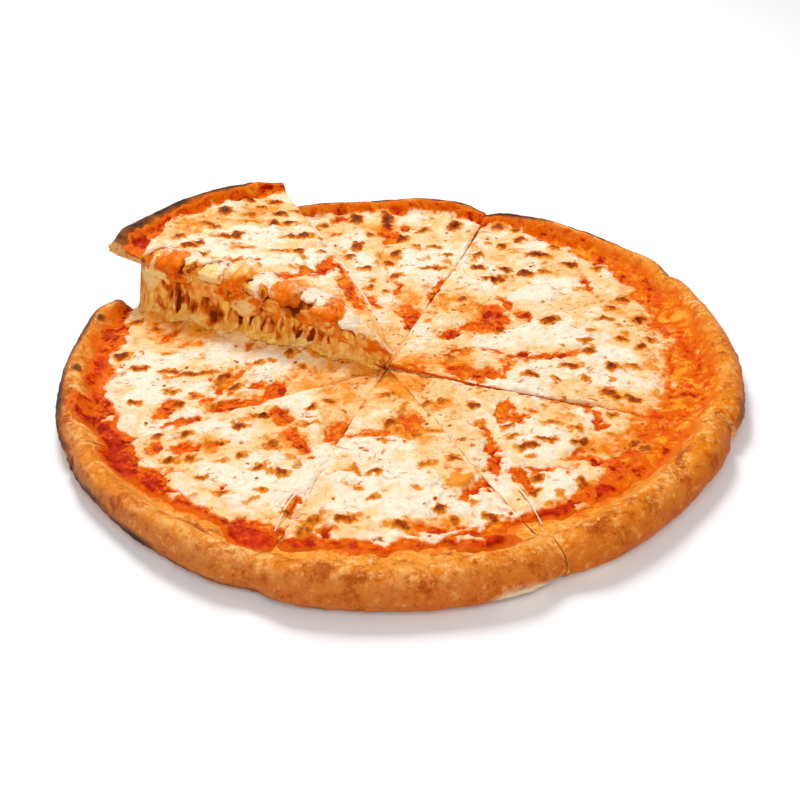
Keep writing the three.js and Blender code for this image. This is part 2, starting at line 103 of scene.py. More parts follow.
# the slices between them; reach shifts the outer edge at the first cut, the middle and the last cut.
# spill and gap add and take sauce, bare and island take and add cheese, warm and pale colour it, toast browns it:
# all are ovals, as x, y, length, width, turn and for some strength; blister has height and colouring after the turn,
# and ridge has both its ends, its width and its height
slices = {
    "front": {
        "reach": (1.5, 0.2, -1.5), "tipRise": 0.5, "seed": 11,
        "spill": ((-32, -118.5, 20, 8, 0), (-4, -118.5, 26, 8, 0), (34, -119, 24, 9, 10)),
        "gap": ((-20, -124, 7, 5, 0), (14, -128, 9, 6, 0)),
        "bare": (
            (8, -48, 13, 6, 100), (31, -90, 12, 3.5, 35), (-9, -54, 14, 1.8, 4), (-26, -113, 9, 5, 20),
            (16, -112, 16, 3, 8)),
        "island": ((-2, -119, 9, 4, 0), (26, -118, 9, 5, 10)),
        "warm": (
            (2, -20, 44, 20, 90, 1.0), (14, -60, 26, 14, 100, 0.8), (27, -80, 20, 16, 45, 1.3),
            (-22, -78, 12, 6, 60, 1.2), (-30, -104, 14, 12, 20, 0.8), (8, -110, 40, 6, 4, 0.9),
            (-10, -54, 22, 5, 4, 1.0)),
        "pale": (
            (-4, -64, 22, 9, 0), (-4, -84, 32, 18, 5), (14, -97, 26, 16, 12), (-20, -100, 16, 10, 20),
            (36, -106, 12, 8, 0)),
        "ridge": (
            (10, -104, 22, -82, 2.6, 0.9), (16, -106, 30, -94, 2.0, 0.8), (22, -104, 40, -98, 2.0, 0.7),
            (12, -98, 17, -80, 1.8, 0.8), (2, -96, 12, -104, 2.2, 0.6)),
        "blister": ((27, -84, 15, 9, 30, 1.2, 0.9), (38, -111, 9, 6, 0, 0.6, 0.8), (2, -52, 9, 6, 20, 0.6, 0.7)),
        "toast": (
            (-1, -48, 8, 5, 10, 0.9), (9, -57, 5, 3, 20, 0.8), (-3, -29, 7, 2.4, 15, 0.8), (4, -37, 4, 2, 60, 0.6),
            (-5, -60, 3.5, 2.6, 0, 0.8), (-7, -81, 4.5, 3.6, 0, 0.9), (-8, -95, 4, 3, 20, 0.7),
            (24, -72, 5, 3, 0, 0.9), (13, -75, 6, 3, 20, 0.7), (17, -102, 6, 6, 60, 1.0), (22, -108, 5, 4, 0, 0.8),
            (36, -107, 8, 4, -20, 0.9), (3, -111, 8, 4, -20, 0.9), (-18, -107, 8, 4, 15, 0.9),
            (-30, -108, 9, 4, 30, 0.8), (-33, -113, 7, 4, 10, 0.8), (6, -55, 6, 3, 0, 0.7), (16, -53, 6, 2, 10, 0.7),
            (-14, -89, 3, 2, 0, 0.6), (30, -98, 3, 2, 0, 0.6)),
    },
    "front_right": {
        "reach": (-0.8, -2.2, 0.6), "tipRise": 0, "seed": 12,
        "bare": (
            (46, -38, 15, 8, 65), (52, -43, 11, 4, 15), (38, -56, 16, 3.4, 110), (39, -66, 12, 3, 85),
            (40, -76, 12, 3.4, 100), (79, -33, 18, 3, -14), (84, -44, 14, 3.6, 110), (50, -84, 14, 4.4, 120),
            (58, -79, 9, 2, 10), (74, -68, 10, 2.6, 60), (80, -73, 12, 1.8, -10)),
        "island": ((100, -64, 10, 8, 20), (113, -58, 8, 5, 0), (115, -49, 12, 7, 10), (72, -101, 9, 5, 0)),
        "warm": (
            (20, -30, 30, 16, -45, 1.0), (66, -42, 26, 12, -20, 0.9), (78, -62, 18, 14, 0, 0.9),
            (28, -52, 12, 16, 120, 0.7), (92, -72, 26, 20, 40, 0.8), (65, -98, 20, 8, 0, 0.8)),
        "pale": (
            (33, -48, 10, 12, 110), (60, -60, 22, 12, -20), (60, -88, 14, 11, 0), (72, -88, 18, 12, 20),
            (78, -40, 12, 6, 10)),
        "toast": (
            (33, -35, 4, 5, 60, 1.0), (20, -33, 6, 3, 10, 0.7), (14, -34, 5, 2.6, 0, 0.8), (47, -51, 5, 3, 10, 0.9),
            (48, -58, 6, 4, 20, 0.9), (53, -64, 6, 3, 0, 0.9), (61, -60, 7, 4, -20, 1.0), (80, -66, 5, 4, 0, 0.8),
            (75, -52, 5, 3, 0, 0.8), (65, -48, 5, 2.6, 0, 0.8), (92, -43, 5, 4, 10, 0.8), (73, -87, 5, 4, 20, 0.9),
            (52, -92, 7, 4, 30, 1.0), (56, -83, 5, 4, 0, 0.9), (75, -61, 8, 5, 20, 1.0), (36, -47, 4, 3, 0, 0.7),
            (97, -62, 7, 6, 0, 0.9), (101, -66, 6, 5, 0, 0.9), (90, -56, 5, 3, 0, 0.6)),
    },
    "right": {
        "reach": (2.5, 3, 5), "tipRise": 3.5, "seed": 13,
        "bare": (
            (35, -13, 26, 10, -8), (10, -10, 7, 4, 0), (72, 3, 18, 2.6, 15), (50, -8, 12, 2.6, 60),
            (47, 5, 10, 2.2, -20), (56, 1, 10, 2, 30), (92, -22, 4, 2, 0), (31, 4, 8, 3, 20)),
        "island": (
            (126, 14, 9, 8, 40), (122, -20, 9, 12, 80), (131, 24, 8, 6, 0), (134, -27, 8, 6, 30),
            (118, 34, 9, 6, 100), (125, -4, 7, 5, 0), (137, 2, 6, 5, 30), (126, -41, 8, 5, 0)),
        "warm": (
            (12, -8, 22, 12, 0, 1.2), (30, -2, 20, 14, 0, 0.9), (86, -28, 30, 8, -12, 0.7),
            (100, 38, 30, 26, 30, 0.7), (113, -8, 8, 7, 0, 1.5), (62, 4, 20, 8, 10, 0.6)),
        "pale": (
            (46, 12, 16, 8, 20), (72, -8, 26, 10, 0), (58, 22, 14, 8, 20), (90, -14, 28, 8, -4), (80, 20, 26, 16, 10),
            (96, 2, 20, 12, 0)),
        "toast": (
            (88, 6, 6, 5, 10, 1.1), (97, -8, 8, 8, 60, 1.2), (73, 31, 10, 8, 20, 1.2), (60, -14, 4, 6, 80, 1.0),
            (78, -7, 9, 3.6, 0, 1.0), (93, -27, 9, 5, -30, 1.1), (101, -32, 7, 4, -30, 1.1), (112, 9, 6, 5, 0, 1.0),
            (104, 16, 5, 4.4, 0, 0.9), (115, 33, 9, 7, 50, 1.15), (104, 42, 7, 5, 30, 1.0), (111, 51, 7, 5, 20, 1.0),
            (95, 50, 8, 4, 10, 0.9), (113, 57, 6, 5, 0, 0.9), (100, 33, 6, 3.4, 0, 0.9), (92, 23, 4, 3, 0, 0.7),
            (88, 14, 5, 3, 20, 0.8), (25, -2, 6, 5, 0, 0.9), (50, 20, 6, 4, 10, 0.9), (106, -8, 6, 3, 0, 0.7),
            (84, -16, 4, 3, 0, 0.7), (125, 50, 7, 6, 0, 0.9), (129, 40, 8, 6, 40, 0.9), (118, 14, 5, 4, 0, 0.8)),
    },
    "back_right": {
        "reach": (6.5, 1.8, -0.5), "tipRise": 1, "seed": 14,
        "bare": (
            (47, 36, 26, 13, 100), (38, 28, 16, 8, 30), (62, 38, 9, 7, 60), (96, 68, 15, 4.4, 105),
            (54, 48, 12, 4, 120), (20, 60, 18, 3, 70), (43, 126, 20, 5, 70), (27, 22, 12, 5, 30)),
        "island": ((68, 122, 8, 6, 0),),
        "warm": (
            (42, 36, 40, 28, 100, 1.3), (92, 78, 20, 16, 0, 0.9), (60, 96, 26, 24, 20, 0.6),
            (28, 50, 12, 20, 70, 0.9), (100, 60, 20, 14, 40, 0.6)),
        "pale": (
            (64, 58, 22, 12, 20), (80, 66, 18, 14, 30), (46, 66, 10, 12, 60), (72, 106, 18, 12, 0),
            (38, 94, 8, 14, 70)),
        "toast": (
            (33, 51, 6, 5, 0, 1.0), (57, 125, 9, 9, 0, 1.1), (67, 112, 8, 8, 0, 1.1), (65, 122, 6, 5, 0, 1.0),
            (75, 95, 15, 7, -10, 1.2), (90, 86, 8, 5, -20, 1.1), (103, 81, 6, 5, 0, 1.0), (103, 94, 6, 6, 0, 1.0),
            (57, 80, 8, 5, -15, 1.1), (66, 76, 9, 6, -15, 1.15), (50, 71, 12, 4, 0, 1.1), (43, 83, 8, 5, 0, 1.1),
            (57, 105, 7, 6, 0, 1.0), (43, 95, 6, 4, 0, 0.9), (81, 118, 7, 8, 60, 1.1), (84, 103, 6, 5, 0, 0.9),
            (92, 62, 5, 3, 0, 0.6), (76, 78, 5, 3, 0, 0.8), (39, 110, 5, 8, 70, 1.0), (28, 82, 5, 3, 0, 0.7)),
    },
    "back": {
        "reach": (2.5, 3.2, 3), "tipRise": 0, "seed": 15,
        "bare": (
            (8, 37, 24, 12, 100), (-2, 122, 26, 8, 95), (22, 64, 18, 4, 72), (-10, 52, 12, 3.4, 120),
            (8, 128, 9, 7, 40), (1, 66, 12, 2.4, 100), (-30, 136, 12, 6, 20)),
        "island": ((-12, 142, 8, 4, 0), (14, 140, 8, 5, 0)),
        "warm": (
            (-4, 112, 60, 16, 92, 1.0), (8, 56, 16, 12, 90, 0.9), (-28, 126, 26, 16, 20, 1.0),
            (8, 36, 34, 18, 100, 1.0), (24, 118, 20, 20, 0, 0.8)),
        "pale": ((14, 92, 26, 22, 80), (-14, 88, 26, 12, 100), (-2, 56, 12, 10, 0), (20, 76, 12, 14, 70)),
        "toast": (
            (33, 128, 16, 10, 80, 1.25), (5, 114, 10, 8, 70, 1.15), (2, 97, 12, 7, 80, 1.15),
            (-3, 136, 22, 8, 95, 1.1), (-18, 106, 10, 6, 80, 1.1), (-20, 137, 12, 10, 60, 1.25),
            (-38, 130, 8, 7, 20, 1.1), (2, 76, 7, 5, 20, 1.0), (-12, 64, 5, 4, 0, 0.9), (-8, 45, 4, 3, 0, 0.9),
            (-14, 82, 6, 8, 80, 1.0), (12, 104, 6, 5, 0, 0.9), (20, 83, 8, 2.4, 10, 0.9), (-2, 88, 6, 5, 0, 1.0),
            (-22, 95, 5, 4, 0, 0.9), (22, 104, 6, 4, 0, 0.8), (16, 124, 8, 5, 30, 1.0), (-30, 118, 7, 6, 40, 1.0),
            (-12, 118, 6, 5, 0, 0.9), (28, 96, 5, 3, 0, 0.8), (-3, 60, 3, 2, 0, 0.8)),
    },
    "lifted": {
        "reach": (0, 0.5, -0.5), "tipRise": 0, "seed": 16,
        "bare": (
            (-52, 34, 20, 4, 8), (-42, 40, 12, 6, 30), (-35, 48, 15, 5, 80), (-29, 47, 10, 3, 130),
            (-25, 30, 17, 5, 95), (-20, 21, 12, 6, 130), (-27, 10, 16, 3.4, 95), (-50, 20, 18, 7, 90)),
        "island": ((-111, 74, 8, 6, 60), (-100, 92, 7, 6, 0)),
        "warm": (
            (-84, 90, 34, 12, 22, 0.7), (-64, 100, 24, 16, 0, 0.8), (-103, 80, 20, 16, 60, 1.0),
            (-72, 30, 14, 16, 80, 1.6), (-50, 22, 10, 24, 90, 1.6), (-100, 36, 16, 20, 60, 1.4),
            (-28, 28, 10, 30, 95, 1.0), (-62, 118, 30, 10, 10, 0.7), (-84, 38, 12, 10, 0, 0.8),
            (-70, 68, 90, 70, 0, 0.3)),
        "pale": (
            (-62, 50, 44, 16, 4), (-92, 62, 18, 16, 0), (-34, 28, 10, 14, 90), (-78, 76, 26, 8, 10),
            (-62, 68, 24, 12, 0)),
        "toast": (
            (-80, 113, 13, 7, 95, 1.25), (-66, 111, 9, 5, 0, 1.1), (-90, 97, 10, 8, -30, 1.25),
            (-77, 96, 6, 5, 0, 0.9), (-62, 95, 9, 7, 20, 1.15), (-64, 85, 6, 6, 90, 1.1), (-56, 85, 9, 5, 15, 1.1),
            (-91, 76, 6, 6, 60, 1.05), (-97, 81, 6, 3, -30, 1.0), (-80, 69, 6, 5, 20, 1.05),
            (-86, 68, 7, 2.4, 10, 0.9), (-107, 65, 7, 5, 60, 1.0), (-48, 72, 8, 6, 10, 1.2), (-54, 71, 6, 3, 20, 0.9),
            (-49, 57, 6, 6, 60, 1.1), (-57, 56, 7, 2, 0, 0.8), (-39, 57, 3, 3, 0, 0.9), (-101, 55, 7, 3, 30, 1.0),
            (-97, 60, 6, 3, 30, 1.0), (-94, 47, 9, 6, 60, 1.2), (-109, 50, 4, 4, 0, 1.0), (-75, 58, 5, 1.4, 10, 0.7),
            (-72, 103, 5, 4, 0, 0.9), (-46, 43, 4, 3, 0, 0.7), (-76, 44, 8, 3, 10, 0.8), (-87, 40, 5, 8, 90, 1.0),
            (-106, 30, 6, 12, 100, 1.0), (-55, 100, 5, 4, 0, 0.9), (-75, 86, 6, 2, 0, 0.7)),
    },
    "left": {
        "reach": (-3.5, -4.9, -1.5), "tipRise": 0, "seed": 17,
        "spill": ((-127, 27, 16, 9, 115), (-127, -40, 24, 16, 100), (-112, -58, 22, 14, 120), (-130, 2, 24, 4, 115)),
        "gap": ((-122, 4, 22, 9, 95), (-126, -18, 10, 6, 95), (-126, -56, 10, 6, 60)),
        "bare": (
            (-66, -34, 28, 12, 12), (-51, -24, 15, 8, 75), (-96, -37, 12, 8, 80), (-103, 20, 9, 3.6, 70),
            (-72, -18, 22, 3, 60), (-66, 12, 5, 3, 30), (-88, -46, 16, 4, 30), (-59, -20, 6, 5, 0)),
        "island": ((-118, 34, 8, 6, 80), (-116, -44, 7, 5, 30)),
        "warm": (
            (-90, 20, 18, 16, 0, 1.2), (-112, 22, 14, 30, 85, 0.7), (-28, -8, 36, 16, 15, 1.0),
            (-86, -14, 16, 8, 0, 0.7), (-60, 14, 26, 10, 0, 0.6), (-60, -34, 34, 18, 10, 0.9),
            (-100, 36, 24, 12, 0, 0.9), (-34, -22, 26, 8, 20, 0.8)),
        "pale": (
            (-106, -10, 24, 18, 0), (-76, 3, 24, 12, 0), (-46, -2, 26, 12, 0), (-104, -28, 18, 12, 0),
            (-60, 24, 20, 8, 10)),
        "toast": (
            (-86, -12, 13, 1.8, 8, 0.8), (-74, -14, 12, 4, 60, 0.8), (-68, -22, 8, 4, 60, 1.0),
            (-122, 4, 7, 5, 0, 1.15), (-112, -8, 6, 3.4, 10, 1.0), (-109, -34, 5, 4, 0, 0.9),
            (-85, -28, 4, 3, 0, 0.9), (-96, -25, 5, 3, 0, 0.8), (-60, -3, 4, 3, 0, 0.8), (-46, 2, 4, 5, 80, 0.9),
            (-98, -10, 6, 2, 10, 0.9), (-90, 22, 9, 8, 0, 0.7), (-110, 24, 5, 3, 0, 0.8), (-126, -6, 6, 5, 40, 1.1),
            (-132, 12, 5, 4, 0, 1.1), (-100, 4, 5, 2, 0, 0.7), (-78, -34, 4, 3, 0, 0.7), (-120, 30, 6, 5, 0, 0.9),
            (-70, 20, 5, 4, 0, 0.7), (-92, -34, 6, 4, 0, 0.9)),
    },
    "front_left": {
        "reach": (-0.6, -1.3, 1.4), "tipRise": 0, "seed": 18,
        "spill": ((-108, -74, 26, 12, -48), (-80, -93, 34, 12, -35), (-52, -115.5, 24, 16, -30)),
        "gap": ((-98, -92, 10, 6, -40), (-86, -105, 22, 8, -30), (-68, -112, 12, 10, -20)),
        "bare": (
            (-95, -63, 9, 6, 60), (-84, -63, 6, 4, 0), (-47, -42, 14, 6, 145), (-38, -58, 15, 5, 125),
            (-22, -52, 17, 6.5, 72), (-38, -97, 4, 9, 10), (-93, -80, 12, 2.4, 15), (-76, -62, 9, 1.8, 20)),
        "island": ((-84, -92, 9, 4, -30), (-60, -106, 8, 4, -20)),
        "warm": (
            (-22, -26, 30, 14, 60, 1.0), (-40, -60, 20, 10, 125, 1.3), (-62, -62, 26, 14, 0, 0.8),
            (-90, -62, 22, 18, 0, 0.9), (-54, -44, 18, 10, 0, 0.9), (-22, -50, 24, 12, 72, 1.2),
            (-78, -86, 24, 8, -30, 0.8)),
        "pale": (
            (-42, -84, 26, 14, 10), (-34, -40, 12, 10, 0), (-62, -82, 18, 12, 0), (-72, -52, 20, 6, 10),
            (-30, -70, 14, 10, 60), (-30, -100, 12, 12, 70)),
        "toast": (
            (-105, -68, 6, 5, 0, 1.0), (-88, -72, 6, 4, 20, 1.0), (-71, -61, 6, 4, 20, 1.0),
            (-63, -50, 6, 3.6, 0, 1.0), (-75, -83, 5, 4, 0, 0.9), (-85, -55, 5, 3, 0, 0.9),
            (-34, -38, 4.6, 4.6, 0, 1.1), (-34, -48, 6, 3, 0, 0.8), (-43, -80, 6, 6, 50, 1.0),
            (-52, -77, 6, 4, 30, 0.9), (-55, -42, 8, 5, 0, 1.15), (-60, -70, 4, 3, 0, 0.8), (-50, -92, 4, 3, 0, 0.7),
            (-96, -55, 5, 4, 0, 0.9), (-40, -102, 5, 4, 0, 0.9), (-27, -33, 4, 2.4, 0, 0.8), (-66, -92, 6, 4, 0, 0.9),
            (-80, -72, 5, 3, 0, 0.8), (-24, -88, 4, 3, 0, 0.6), (-49, -63, 8, 4, 130, 0.8)),
    },
}

# how the eighth slice is held up: it slopes up from its tip ever less steeply, sags, rolls and turns a little
lift = {"tipRise": 9.0, "slope": 38.0, "fade": 26.0, "sag": 0.5, "roll": 3.2, "turn": -1.7, "steps": 40}

# the cuts cross this far from the inner ends of two CAD pieces
innerEnds = {"right": 0.874, "front": 0.876}
frontBox = np.array(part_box("dough_front")) * 1000
rightBox = np.array(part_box("dough_right")) * 1000
crossing = np.array([rightBox[0, 0] - innerEnds["right"], frontBox[1, 1] + innerEnds["front"], 0.0])
print("the cuts cross at", crossing.round(2))


# uneven surfaces
def smooth(low, high, x):
    t = np.clip((x - low) / (high - low), 0, 1)
    return t * t * (3 - 2 * t)


def bell(x, width):
    return np.exp(-((x / width) ** 2))


def quarterRound(x):
    # rises from 0 to 1 as a quarter of a circle does
    return np.sqrt(np.clip(1 - (1 - np.clip(x, 0, 1)) ** 2, 0, 1))


def domed(x):
    return np.sqrt(np.clip(x, 0, 1))


def rolling(x, y, size, seed):
    # soft hills and hollows between about -1 and 1, "size" millimetres apart
    cells = 64
    angles = np.random.default_rng(seed).uniform(0, 2 * math.pi, (cells, cells))
    px, py = x / size + 31.7, y / size + 27.3
    ix, iy = np.floor(px).astype(int), np.floor(py).astype(int)
    fx, fy = px - ix, py - iy
    wx, wy = fx ** 3 * (fx * (fx * 6 - 15) + 10), fy ** 3 * (fy * (fy * 6 - 15) + 10)
    corner = {}
    for dx in (0, 1):
        for dy in (0, 1):
            a = angles[(ix + dx) % cells, (iy + dy) % cells]
            corner[dx, dy] = np.cos(a) * (fx - dx) + np.sin(a) * (fy - dy)
    low = corner[0, 0] * (1 - wx) + corner[1, 0] * wx
    high = corner[0, 1] * (1 - wx) + corner[1, 1] * wx
    return 1.5 * (low * (1 - wy) + high * wy)


def rough(x, y, size, seed, octaves=3, gain=0.5):
    total, weight = 0, 1
    for k in range(octaves):
        total = total + weight * rolling(x, y, size / 2 ** k, seed + 31 * k)
        weight *= gain
    return total


def pebbles(x, y, size, seed):
    # rounded lumps of uneven size that touch each other, 0 between them and 1 on top
    cells = 64
    places = np.random.default_rng(seed).uniform(0.1, 0.9, (cells, cells, 2))
    px, py = x / size + 29.2, y / size + 33.9
    ix, iy = np.floor(px).astype(int), np.floor(py).astype(int)
    nearest = np.full(np.shape(px), 9.0)
    for dx in (-1, 0, 1):
        for dy in (-1, 0, 1):
            at = places[(ix + dx) % cells, (iy + dy) % cells]
            nearest = np.minimum(nearest, (ix + dx + at[..., 0] - px) ** 2 + (iy + dy + at[..., 1] - py) ** 2)
    return np.clip(1 - nearest, 0, 1)


def ovalDistance(x, y, oval, scale=1.0):
    # millimetres outside an oval, negative inside it
    ox, oy, length, width, turn = oval[:5]
    a, b, angle = length / 2 * scale, width / 2 * scale, math.radians(turn)
    dx, dy = x - ox, y - oy
    along, across = dx * math.cos(angle) + dy * math.sin(angle), dy * math.cos(angle) - dx * math.sin(angle)
    return (np.sqrt((along / a) ** 2 + (across / b) ** 2) - 1) * min(a, b)


def ovalShare(x, y, oval, scale=1.0):
    # -1 in the middle of an oval, 0 on its border and growing outside it
    return ovalDistance(x, y, oval) / (0.5 * min(oval[2], oval[3]) * scale)


# the outline, the rim and the layers
def circleReach(angle):
    dx, dy = np.cos(np.radians(angle)), np.sin(np.radians(angle))
    mx, my = pizza["middle"]
    return mx * dx + my * dy + np.sqrt(pizza["radius"] ** 2 - (mx * dy - my * dx) ** 2)


def wedgeOf(name):
    index = list(slices).index(name)
    first, last = cuts[index], cuts[index + 1]
    half = (last["angle"] - first["angle"]) / 2
    mid = first["angle"] + half
    out = pizza["kerf"] / 2 / math.sin(math.radians(half))
    tip = (out * math.cos(math.radians(mid)), out * math.sin(math.radians(mid)))
    return {"name": name, "first": first, "last": last, "mid": mid, "tip": tip, **slices[name]}


def between(wedge, key, t):
    return wedge["first"][key] * (1 - t) + wedge["last"][key] * t


def sliceAngle(wedge):
    return math.radians(wedge["last"]["angle"] - wedge["first"]["angle"])


def fromCut(wedge, t, distance):
    return np.minimum(t, 1 - t) * sliceAngle(wedge) * distance


def pastCheese(wedge, f):
    # how far outside the cheese's border a place is, negative inside it
    return f.distance - (f.reach - between(wedge, "cheese", f.t))


def outerReach(wedge, t):
    first, mid, last = wedge["reach"]
    reach = circleReach(between(wedge, "angle", t))
    reach = reach + first * (1 - t) * (1 - 2 * t) + mid * 4 * t * (1 - t) + last * t * (2 * t - 1)
    depth, width = pizza["cornerRound"]
    return reach - depth * bell(fromCut(wedge, t, reach), width)


def rimHeight(wedge, t, reach):
    bumps = np.sin(np.radians(between(wedge, "angle", t) * pizza["bumpsPerTurn"] + pizza["bumpStart"]))
    depth, width = pizza["cutPress"]
    return between(wedge, "rimHeight", t) + pizza["bumpHeight"] * bumps - depth * bell(fromCut(wedge, t, reach), width)


def doughTop(inset, width, height):
    crest = pizza["crestShare"] * width
    edge, base = pizza["edgeHeight"], pizza["baseThickness"]
    shoulder = edge + (height - edge) * quarterRound(inset / crest)
    fall = 0.5 + 0.5 * np.cos(math.pi * np.clip((inset - crest) / (width - crest), 0, 1))
    return np.where(inset < crest, shoulder, base + (height - base) * fall)


crustLook = {"swell": 0.45, "wrinkle": 0.22, "bubble": 0.6, "bubbleSize": 13, "fill": 0.07}


def crustLumps(x, y, inset, width):
    # the rim's swellings and small bubbles, fading out on the base
    swell = crustLook["swell"] * rough(x, y, 24, 401, 2) + crustLook["wrinkle"] * rough(x, y, 7, 402, 3)
    bubbles = smooth(0.55, 0.95, pebbles(x + 3 * rolling(x, y, 9, 404), y, crustLook["bubbleSize"], 403))
    bubbles = crustLook["bubble"] * bubbles * smooth(0.1, 0.5, rolling(x, y, 30, 405))
    fill = crustLook["fill"] * width * bell(inset - 1.08 * width, 0.28 * width)
    return smooth(width * 1.05, width * 0.75, inset) * (swell + bubbles) + fill


class Field:
    # the heights and colours of one slice over its plan, at columns t and distances from the tip
    def __init__(self, wedge, t, distance):
        self.t, self.distance = t, distance
        self.reach = outerReach(wedge, t)
        self.inset = self.reach - distance
        self.width = between(wedge, "rimWidth", t)
        angle = np.radians(between(wedge, "angle", t) + np.zeros_like(distance))
        slide = self.slideOf(wedge, t, distance)
        angle = angle + slide / np.maximum(distance, 6)
        self.x = distance * np.cos(angle) + wedge["tip"][0]
        self.y = distance * np.sin(angle) + wedge["tip"][1]
        self.cx, self.cy = self.x - pizza["middle"][0], self.y - pizza["middle"][1]
        self.toCut = fromCut(wedge, t, distance)
        height = rimHeight(wedge, t, self.reach)
        self.lumps = crustLumps(self.x, self.y, self.inset, self.width)
        self.dough = doughTop(self.inset, self.width, height) + self.lumps

    def slideOf(self, wedge, t, distance):
        def along(cut, key):
            return np.interp(distance, *zip(*cut[key]))
        fade = smooth(0, 12, distance)
        stray = along(wedge["first"], "wander") * (1 - t) ** 2 + along(wedge["last"], "wander") * t ** 2
        gape = along(wedge["first"], "opening") * (1 - t) ** 6 - along(wedge["last"], "opening") * t ** 6
        ragged = 0.22 * rolling(distance, 0 * distance + wedge["mid"], 5, 409) * ((1 - t) ** 8 + t ** 8)
        return fade * (stray + gape / 2 + ragged)


sauceLook = {
    "thickness": 1.3, "ramp": 4.5, "pulp": 0.5, "pulpSize": 3.4, "ringSwell": 0.3, "dip": -1.6, "cutRound": 1.5,
}


def sauceOver(wedge, f):
    # how far inside the sauce's outer border a place is, and the height of the sauce there
    border = f.inset - between(wedge, "sauce", f.t) + (0.6 + 0.1 * f.width) * rough(f.x, f.y, 12, 501, 3)
    jagged = 1.5 * rough(f.x, f.y, 15, 505, 3) + 0.45 * rough(f.x, f.y, 3.5, 506, 2)
    for oval in wedge.get("spill", ()):
        border = np.maximum(border, jagged - ovalDistance(f.cx, f.cy, oval))
    for oval in wedge.get("gap", ()):
        border = np.minimum(border, jagged + ovalDistance(f.cx, f.cy, oval))
    share = np.clip(border / sauceLook["ramp"], 0, 1)
    cover = np.where(border > 0, share * (2 - share), np.clip(border * 0.6, sauceLook["dip"], 0))
    lumps = pebbles(f.x + 0.8 * rolling(f.x, f.y, 4, 503), f.y, sauceLook["pulpSize"], 502) - 0.5
    pulp = sauceLook["pulp"] * lumps + 0.35 * rough(f.x, f.y, 6, 504, 2)
    body = sauceLook["thickness"] + sauceLook["ringSwell"] * smooth(-4, 6, pastCheese(wedge, f))
    edge = np.clip(f.toCut / sauceLook["cutRound"], 0, 1)
    top = f.dough + np.where(cover > 0, cover * (body + pulp) - 0.5 * (1 - edge), cover)
    return border, top


# where the lifted slice pulled its neighbours' cheese up: distance along the cut, half width, height
pulledUp = {
    "left": (
        (17, 8, 4.4), (27, 6, 3.0), (40, 10, 5.4), (58, 8, 3.0), (72, 9, 3.4), (84, 6, 2.4), (97, 10, 3.8),
        (118, 9, 4.4)),
    "back": ((34, 8, 1.0), (60, 9, 1.2), (88, 9, 1.0), (104, 7, 1.0)),
}
# the last is how far the painted warm shade beside the lifted slice reaches
pulledUpLook = {"spread": 45, "shelf": 1.5, "fall": 6.0, "warmShadeWidth": 10.0}


def pulledRidge(name, s):
    # the height of that ridge beside a slice's cut
    ridge = np.zeros_like(s)
    for at, half, high in pulledUp.get(name, ()):
        ridge = np.maximum(ridge, high * bell(s - at, half))
    return ridge


leftEdge = {"drop": 1.7, "width": 13.0, "power": 1.3}


def shoulderDrop(distance):
    # the lifted slice's cheese rolls over its left edge
    return leftEdge["drop"] * np.clip(1 - distance / leftEdge["width"], 0, 1) ** leftEdge["power"]


# a fleck has limits for its length, width, turn and strength
cheeseLook = {
    "thickness": 1.9, "thinnest": 0.5, "thickest": 4.2, "lip": 3.2, "cutRound": 1.5, "borderWander": 4.2,
    "flecks": 14, "fleckReach": 122, "fleck": ((1.4, 3.6), (1.2, 2.6), (-90, 90), (0.3, 0.7)),
}


def toastedSpots(wedge, seed):
    # the listed spots, then flecks left to chance
    rng = np.random.default_rng(seed)
    spots = list(wedge["toast"])
    for _ in range(cheeseLook["flecks"]):
        angle = math.radians(wedge["first"]["angle"]) + rng.uniform(0.06, 0.94) * sliceAngle(wedge)
        reach = math.sqrt(rng.uniform(0.03, 1)) * cheeseLook["fleckReach"]
        shape = [rng.uniform(*limits) for limits in cheeseLook["fleck"]]
        spots.append((reach * math.cos(angle), reach * math.sin(angle), *shape))
    return spots


def toastedMarks(wedge, f, seed, warpX, warpY):
    # how toasted each place is, and how far its blister stands up
    toast, rise = np.zeros_like(f.x), np.zeros_like(f.x)
    jag = 0.95 * rough(f.x, f.y, 3.0, seed + 14, 3)
    for spot in toastedSpots(wedge, seed + 13):
        x, y, length, width, _, strength = spot
        near = np.abs(f.cx - x) + np.abs(f.cy - y) < 3 * length + 8
        if not near.any():
            continue
        half = 0.5 * min(length, width)
        away = ovalDistance(f.cx[near] + 0.9 * warpX[near], f.cy[near] + 0.9 * warpY[near], spot, 0.86)
        away = away + jag[near] * min(1.3, half * 0.8)
        toast[near] = np.maximum(toast[near], strength * smooth(2.6, -0.9 * half, away))
        blister = smooth(0.9, -0.5 * half, away) - 0.55 * smooth(-0.3 * half, -half, away)
        rise[near] = np.maximum(rise[near], min(0.9, 0.28 * half + 0.15) * blister)
    return toast, rise


